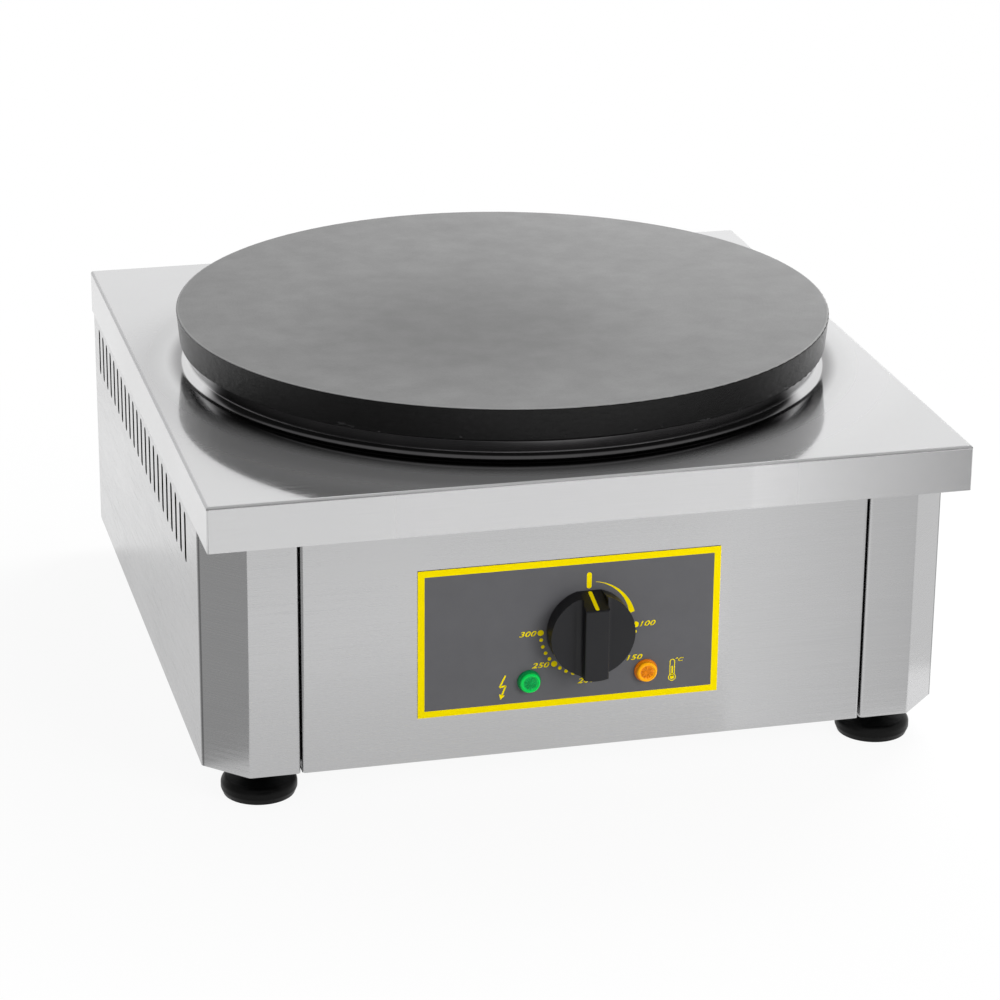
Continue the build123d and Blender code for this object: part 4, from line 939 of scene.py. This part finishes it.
class CREPE_OT_collar(bpy.types.Operator):
    """Spin the smooth collar that rises from the tray under the griddle plate"""

    bl_idname = "crepe.collar"
    bl_label = "Collar"

    def execute(self, context):
        low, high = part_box("collar")
        sheet = TRAY_HIGH.z - low.z
        outer = (high.x - low.x) / 2
        foot = context.scene.crepe_finishes.collar_foot
        wall = outer - foot
        foot_middle = (outer, TRAY_HIGH.z + foot)
        edge_middle = (wall - sheet / 2, high.z - sheet / 2)
        wall_low, wall_high = foot_middle[1] + 0.2 * MM, edge_middle[1] - 0.1 * MM
        outline = [
            *arc_points(foot_middle, foot, 270.0, 180.0, 24),
            (wall, wall_low),
            (wall, wall_high),
            *arc_points(edge_middle, sheet / 2, 0.0, 180.0, 12),
            (wall - sheet, wall_high),
            (wall - sheet, wall_low),
            *arc_points(foot_middle, foot + sheet, 180.0, 270.0, 24),
        ]
        piece = spun("plate_collar", outline, 360)
        complete(piece, "housing", "tray_steel")
        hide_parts("collar")
        return {"FINISHED"}


# ---------------------------------------------------------------- screws
def islands(node):
    """The box of each separate solid in a node, as (low, high) corners."""
    mesh = bmesh.new()
    mesh.from_mesh(frame["nodes"][node].data)
    bmesh.ops.remove_doubles(mesh, verts=mesh.verts, dist=0.001 * MM)
    boxes = []
    waiting = set(mesh.verts)
    while waiting:
        reached = [waiting.pop()]
        low, high = reached[0].co.copy(), reached[0].co.copy()
        while reached:
            vertex = reached.pop()
            for axis in range(3):
                low[axis] = min(low[axis], vertex.co[axis])
                high[axis] = max(high[axis], vertex.co[axis])
            for edge in vertex.link_edges:
                other = edge.other_vert(vertex)
                if other in waiting:
                    waiting.remove(other)
                    reached.append(other)
        boxes.append((low, high))
    mesh.free()
    return sorted(boxes, key=lambda corners: tuple(round(value, 4) for value in corners[0]))


def pan_screw(head_radius, shank_radius, length, head_height):
    """A pan-head screw with a cross recess, its head's underside at the origin and its head along +Z."""
    select_nothing()
    piece = disc("pan_screw", 48, shank_radius * 0.72)
    piece.location.z = head_height - length
    apply_place(piece)
    edit_all()
    shank = length - head_height
    turns = max(3, int(shank / (0.8 * MM)))
    step = shank / turns
    for turn in range(turns):
        extrude(step / 2)
        widen(1 / 0.86)
        extrude(step / 2)
        widen(0.86)
    extrude()
    wide = head_radius / (shank_radius * 0.72)
    widen(wide)
    extrude(head_height * 0.45)
    round_off(((0.05, 0.38), (0.09, 0.28), (0.14, 0.20), (0.20, 0.14)), head_radius, head_height * 0.55)
    bpy.ops.object.mode_set(mode="OBJECT")
    cutters = []
    for turn in (0.0, 90.0):
        bpy.ops.mesh.primitive_cube_add(size=1.0, location=(0.0, 0.0, head_height))
        cutter = named("recess")
        cutter.scale = (head_radius * 1.05, head_radius * 0.24, head_height * 1.15)
        cutter.rotation_euler = (0.0, 0.0, DEG(turn))
        apply_place(cutter)
        cutters.append(cutter)
    for cutter in cutters:
        activate(piece)
        cut = piece.modifiers.new("recess", "BOOLEAN")
        cut.operation = "DIFFERENCE"
        cut.solver = "EXACT"
        cut.object = cutter
        bpy.ops.object.modifier_apply(modifier=cut.name)
        bpy.data.objects.remove(cutter, do_unlink=True)
    activate(piece)
    bpy.ops.object.shade_smooth_by_angle(angle=DEG(30.0))
    return piece


def drive_in(node, name, outward):
    """Puts one screw in the place of each solid of a node; outward is the way its head faces."""
    axis = max(range(3), key=lambda index: abs(outward[index]))
    across = [index for index in range(3) if index != axis]
    boxes = islands(node)
    low, high = boxes[0]
    radius = (high[across[0]] - low[across[0]]) / 2
    model = pan_screw(radius, SHANK_RADIUS, high[axis] - low[axis], HEAD_HEIGHT)
    turn = Vector((0.0, 0.0, 1.0)).rotation_difference(Vector(outward)).to_matrix().to_4x4()
    made = []
    for index, (low, high) in enumerate(boxes):
        middle = (low + high) / 2
        outer = high[axis] if outward[axis] > 0 else low[axis]
        middle[axis] = outer - outward[axis] * HEAD_HEIGHT
        screw = model.copy()
        screw.data = model.data.copy()
        bpy.context.collection.objects.link(screw)
        spin = Matrix.Rotation(DEG(17.0 + 41.0 * index), 4, "Z")
        screw.data.transform(Matrix.Translation(middle) @ turn @ spin)
        made.append(screw)
    bpy.data.objects.remove(model, do_unlink=True)
    piece = joined(made, name)
    complete(piece, "housing", "fastener_steel")
    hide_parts(node)


class CREPE_OT_screws(bpy.types.Operator):
    """Drive the cross-recess screws into the back panel and the base plate"""

    bl_idname = "crepe.screws"
    bl_label = "Screws"

    def execute(self, context):
        drive_in("back_screws", "back_panel_screws", (0.0, 1.0, 0.0))
        drive_in("base_screws", "base_plate_screws", (0.0, 0.0, -1.0))
        return {"FINISHED"}


# ---------------------------------------------------------------- cable gland cap
class CREPE_OT_gland_cap(bpy.types.Operator):
    """Model the gland's ribbed cap, with its rounded mouth"""

    bl_idname = "crepe.gland_cap"
    bl_label = "Gland cap"

    def execute(self, context):
        low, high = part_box("gland_cap")
        outer = (high.x - low.x) / 2
        length = high.y - low.y
        bore = context.scene.crepe_finishes.gland_bore
        select_nothing()
        piece = disc("gland_ribbed_cap", 144, outer)
        for index, vertex in enumerate(piece.data.vertices):
            if index % 6 in (0, 1, 2):
                vertex.co *= (outer - 0.55 * MM) / outer
        edit_all()
        extrude(length * 0.66)
        rounding = ((0.10, 0.16), (0.08, 0.10), (0.09, 0.06), (0.08, 0.02))
        for inward, upward in rounding:
            narrower = 1.0 - inward * 0.75
            extrude(length * upward)
            widen(narrower)
        mouth = max(vertex.co.xy.length for vertex in bmesh.from_edit_mesh(piece.data).verts if vertex.select)
        extrude()
        within = bore / mouth
        widen(within)
        rim = [vertex for vertex in bmesh.from_edit_mesh(piece.data).verts if vertex.select]
        for vertex in rim:
            vertex.co.xy = vertex.co.xy.normalized() * bore
        extrude(-length)
        bpy.ops.mesh.delete(type="ONLY_FACE")
        pick(piece, lambda face: face.normal.z < -0.9 and len(face.verts) > 20)
        bpy.ops.mesh.delete(type="ONLY_FACE")
        pick(piece, lambda edge: edge.is_boundary, "edges")
        bpy.ops.mesh.bridge_edge_loops()
        face_outwards()
        bpy.ops.object.shade_smooth_by_angle(angle=DEG(32.0))
        piece.rotation_euler = (DEG(-90.0), 0.0, 0.0)
        piece.location = ((low.x + high.x) / 2, low.y, (low.z + high.z) / 2)
        complete(piece, "housing", "gland_plastic")
        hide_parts("gland_cap")
        return {"FINISHED"}


# ---------------------------------------------------------------- finishes on the CAD nodes
class CREPE_OT_finishes(bpy.types.Operator):
    """Make every finish and give it to the nodes that carry its slot"""

    bl_idname = "crepe.finishes"
    bl_label = "Finishes"

    def execute(self, context):
        make_finishes(context.scene.crepe_finishes)
        for entry in frame["record"]["subparts"]:
            slots = frame["nodes"][entry["node"]].data.materials
            finish = FINISHES[entry["material_slot"]]
            if not slots:
                slots.append(finish)
            for index in range(len(slots)):
                slots[index] = finish
        return {"FINISHED"}


# ---------------------------------------------------------------- studio
def soft_light(name, place, aim, size, power):
    select_nothing()
    bpy.ops.object.light_add(type="AREA", location=place)
    light = bpy.context.object
    light.name = name
    light.data.shape = "DISK"
    light.data.size = size
    light.data.energy = power
    light.rotation_euler = (Vector(aim) - Vector(place)).to_track_quat("-Z", "Y").to_euler()
    light.visible_glossy = False


def studio_world(settings):
    """Even light from all round; polished metal sees a bright backdrop behind and a dim room in front."""
    world = bpy.data.worlds.new("studio")
    bpy.context.scene.world = world
    tree = NodeTree(world)
    way = tree.nodes.new("ShaderNodeTexCoord").outputs["Generated"]
    behind = tree.dot(way, AWAY)
    backdrop = tree.remap(behind, 0.50, 0.62, settings.room_level, settings.backdrop_level, smooth=True)
    overhead = tree.remap(tree.axis(way)["Z"], 0.52, 0.68, 0.0, 0.50, smooth=True)
    rays = tree.nodes.new("ShaderNodeLightPath").outputs
    direct = tree.math("MAXIMUM", rays["Is Camera Ray"], rays["Is Transmission Ray"])
    even = tree.glow("ShaderNodeBackground", settings.sky_level)
    mirrored = tree.glow("ShaderNodeBackground", tree.math("MAXIMUM", backdrop, overhead))
    seen = tree.glow("ShaderNodeBackground", 1.0)
    unseen = tree.mix_shaders(rays["Is Glossy Ray"], even, mirrored)
    tree.links.new(tree.mix_shaders(direct, unseen, seen), tree.nodes["World Output"].inputs["Surface"])


def floor_finish():
    """White paper that goes to pure white away from the object, and keeps its shadow."""
    finish = Finish("floor")
    paper = finish.add("ShaderNodeBsdfDiffuse", {"Color": (0.90, 0.90, 0.90, 1.0)}).outputs[0]
    rays = finish.nodes.new("ShaderNodeLightPath").outputs
    axes = finish.axis(finish.place)
    away = finish.length(finish.place)
    dimmer_in_front = finish.remap(axes["Y"], -0.70, -0.42, 0.86, 1.0, smooth=True)
    white = finish.glow("ShaderNodeEmission", finish.math("MAXIMUM", rays["Is Camera Ray"], dimmer_in_front))
    whiter_to_the_eye = finish.remap(away, 0.25, 0.65, 0.92, 1.0, smooth=True)
    whiter_in_steel = finish.remap(away, 0.25, 0.60, 0.58, 0.84, smooth=True)
    seen = finish.math("MULTIPLY", rays["Is Camera Ray"], whiter_to_the_eye)
    mirrored = finish.math("MULTIPLY", rays["Is Glossy Ray"], whiter_in_steel)
    farther = finish.math("MAXIMUM", finish.math("ABSOLUTE", axes["X"]), finish.math("ABSOLUTE", axes["Y"]))
    in_the_open = finish.remap(farther, 0.13, 0.15, smooth=True)
    share = finish.math("MULTIPLY", finish.math("MAXIMUM", seen, mirrored), in_the_open)
    finish.emit(finish.mix_shaders(share, paper, white))
    return finish.material


def painted_reflection_card(name, place, width, height, along, level, far_level, fade):
    """A gray card that stands along X or Y beside the object and shows only in polished surfaces, as a painted
    reflection.

    The last share of its width, fade, goes softly from level to far_level."""
    turn = DEG(90.0) if along == "Y" else 0.0
    select_nothing()
    bpy.ops.mesh.primitive_plane_add(size=1.0, location=place, rotation=(DEG(90.0), 0.0, turn))
    card = named(name)
    card.scale = (width, height, 1.0)
    apply_place(card)
    finish = Finish(name)
    end = place["XY".index(along)] + width / 2
    gray = finish.remap(finish.axis(finish.place)[along], end - width * fade, end, level, far_level)
    finish.emit(finish.glow("ShaderNodeEmission", gray))
    card.data.materials.append(finish.material)
    card.visible_camera = False
    card.visible_diffuse = False
    card.visible_transmission = False
    card.visible_shadow = False


class CREPE_OT_studio(bpy.types.Operator):
    """Set the floor, the soft lights and the camera"""

    bl_idname = "crepe.studio"
    bl_label = "Studio"

    def execute(self, context):
        settings = context.scene.crepe_studio
        context.scene.view_settings.view_transform = "Standard"
        studio_world(settings)
        select_nothing()
        bpy.ops.mesh.primitive_plane_add(size=14.0, location=(0.0, 0.0, cad_box[0].z - 0.05 * MM))
        floor = named("studio_floor")
        floor.data.materials.append(floor_finish())
        floor_z = cad_box[0].z
        gray = settings.card_level
        # Painted reflections: each card below is seen only in polished steel, where it shows as a darker or lighter
        # band.
        for name, x, y, up, width, height, along, level, far_level, fade in (
            ("left_card", -0.27, -0.285, 0.075, 0.45, 0.15, "Y", gray, 0.95, 0.29),
            ("right_card", 0.31, -0.45, 0.075, 1.00, 0.15, "Y", gray * 2.05, 1.0, 0.19),
            ("front_card", 0.185, -0.26, 0.078, 0.17, 0.156, "X", 0.93, gray * 1.5, 1.0),
            ("apron_card", 0.185, -0.26, 0.173, 0.17, 0.034, "X", 0.95, gray * 0.6, 1.0),
        ):
            painted_reflection_card(name, (x, y, floor_z + up), width, height, along, level, far_level, fade)
        soft_light("key_light", (1.2, -2.0, 0.9), (0.0, 0.0, 0.1), 1.4, settings.key_power)
        soft_light("back_light", (0.60, 0.52, 0.78), (0.0, 0.0, 0.2), 0.7, settings.back_power)
        yaw, pitch, roll = settings.camera_yaw, settings.camera_pitch, settings.camera_roll
        forward = Vector((math.sin(yaw) * math.cos(pitch), math.cos(yaw) * math.cos(pitch), -math.sin(pitch)))
        level = Vector((math.cos(yaw), -math.sin(yaw), 0.0))
        upward = level.cross(forward)
        right = math.cos(roll) * level + math.sin(roll) * upward
        up = -math.sin(roll) * level + math.cos(roll) * upward
        select_nothing()
        bpy.ops.object.camera_add()
        camera = bpy.context.object
        camera.name = "camera"
        camera.data.sensor_width = 36.0
        camera.data.lens = settings.focal_length
        camera.data.clip_end = 40.0
        turn = Matrix((right, up, -forward)).transposed().to_4x4()
        camera.matrix_world = Matrix.Translation(settings.camera_place) @ turn
        context.scene.camera = camera
        return {"FINISHED"}


# ---------------------------------------------------------------- panel and registration
OPERATORS = (
    CREPE_OT_studio, CREPE_OT_finishes, CREPE_OT_collar, CREPE_OT_dial_print, CREPE_OT_lamp_lenses, CREPE_OT_screws,
    CREPE_OT_gland_cap,
)


class CREPE_PT_sidebar(bpy.types.Panel):
    """Lists the steps and their sizes"""

    bl_label = "Crepe maker"
    bl_idname = "CREPE_PT_sidebar"
    bl_space_type = "VIEW_3D"
    bl_region_type = "UI"
    bl_category = "Crepe maker"

    def draw(self, context):
        for operator in OPERATORS:
            self.layout.operator(operator.bl_idname)
        for group_name, group in SETTINGS.items():
            box = self.layout.box()
            for setting in group.__annotations__:
                box.prop(getattr(context.scene, group_name), setting)


CLASSES = (*SETTINGS.values(), *OPERATORS, CREPE_PT_sidebar)


def register():
    for made in CLASSES:
        bpy.utils.register_class(made)
    for group_name, group in SETTINGS.items():
        setattr(bpy.types.Scene, group_name, PointerProperty(type=group))


def unregister():
    for group_name in SETTINGS:
        delattr(bpy.types.Scene, group_name)
    for made in reversed(CLASSES):
        bpy.utils.unregister_class(made)


def main():
    register()
    bpy.ops.crepe.studio()
    bpy.ops.crepe.finishes()
    bpy.ops.crepe.collar()
    bpy.ops.crepe.dial_print()
    bpy.ops.crepe.lamp_lenses()
    bpy.ops.crepe.screws()
    bpy.ops.crepe.gland_cap()


if __name__ == "__main__":
    main()
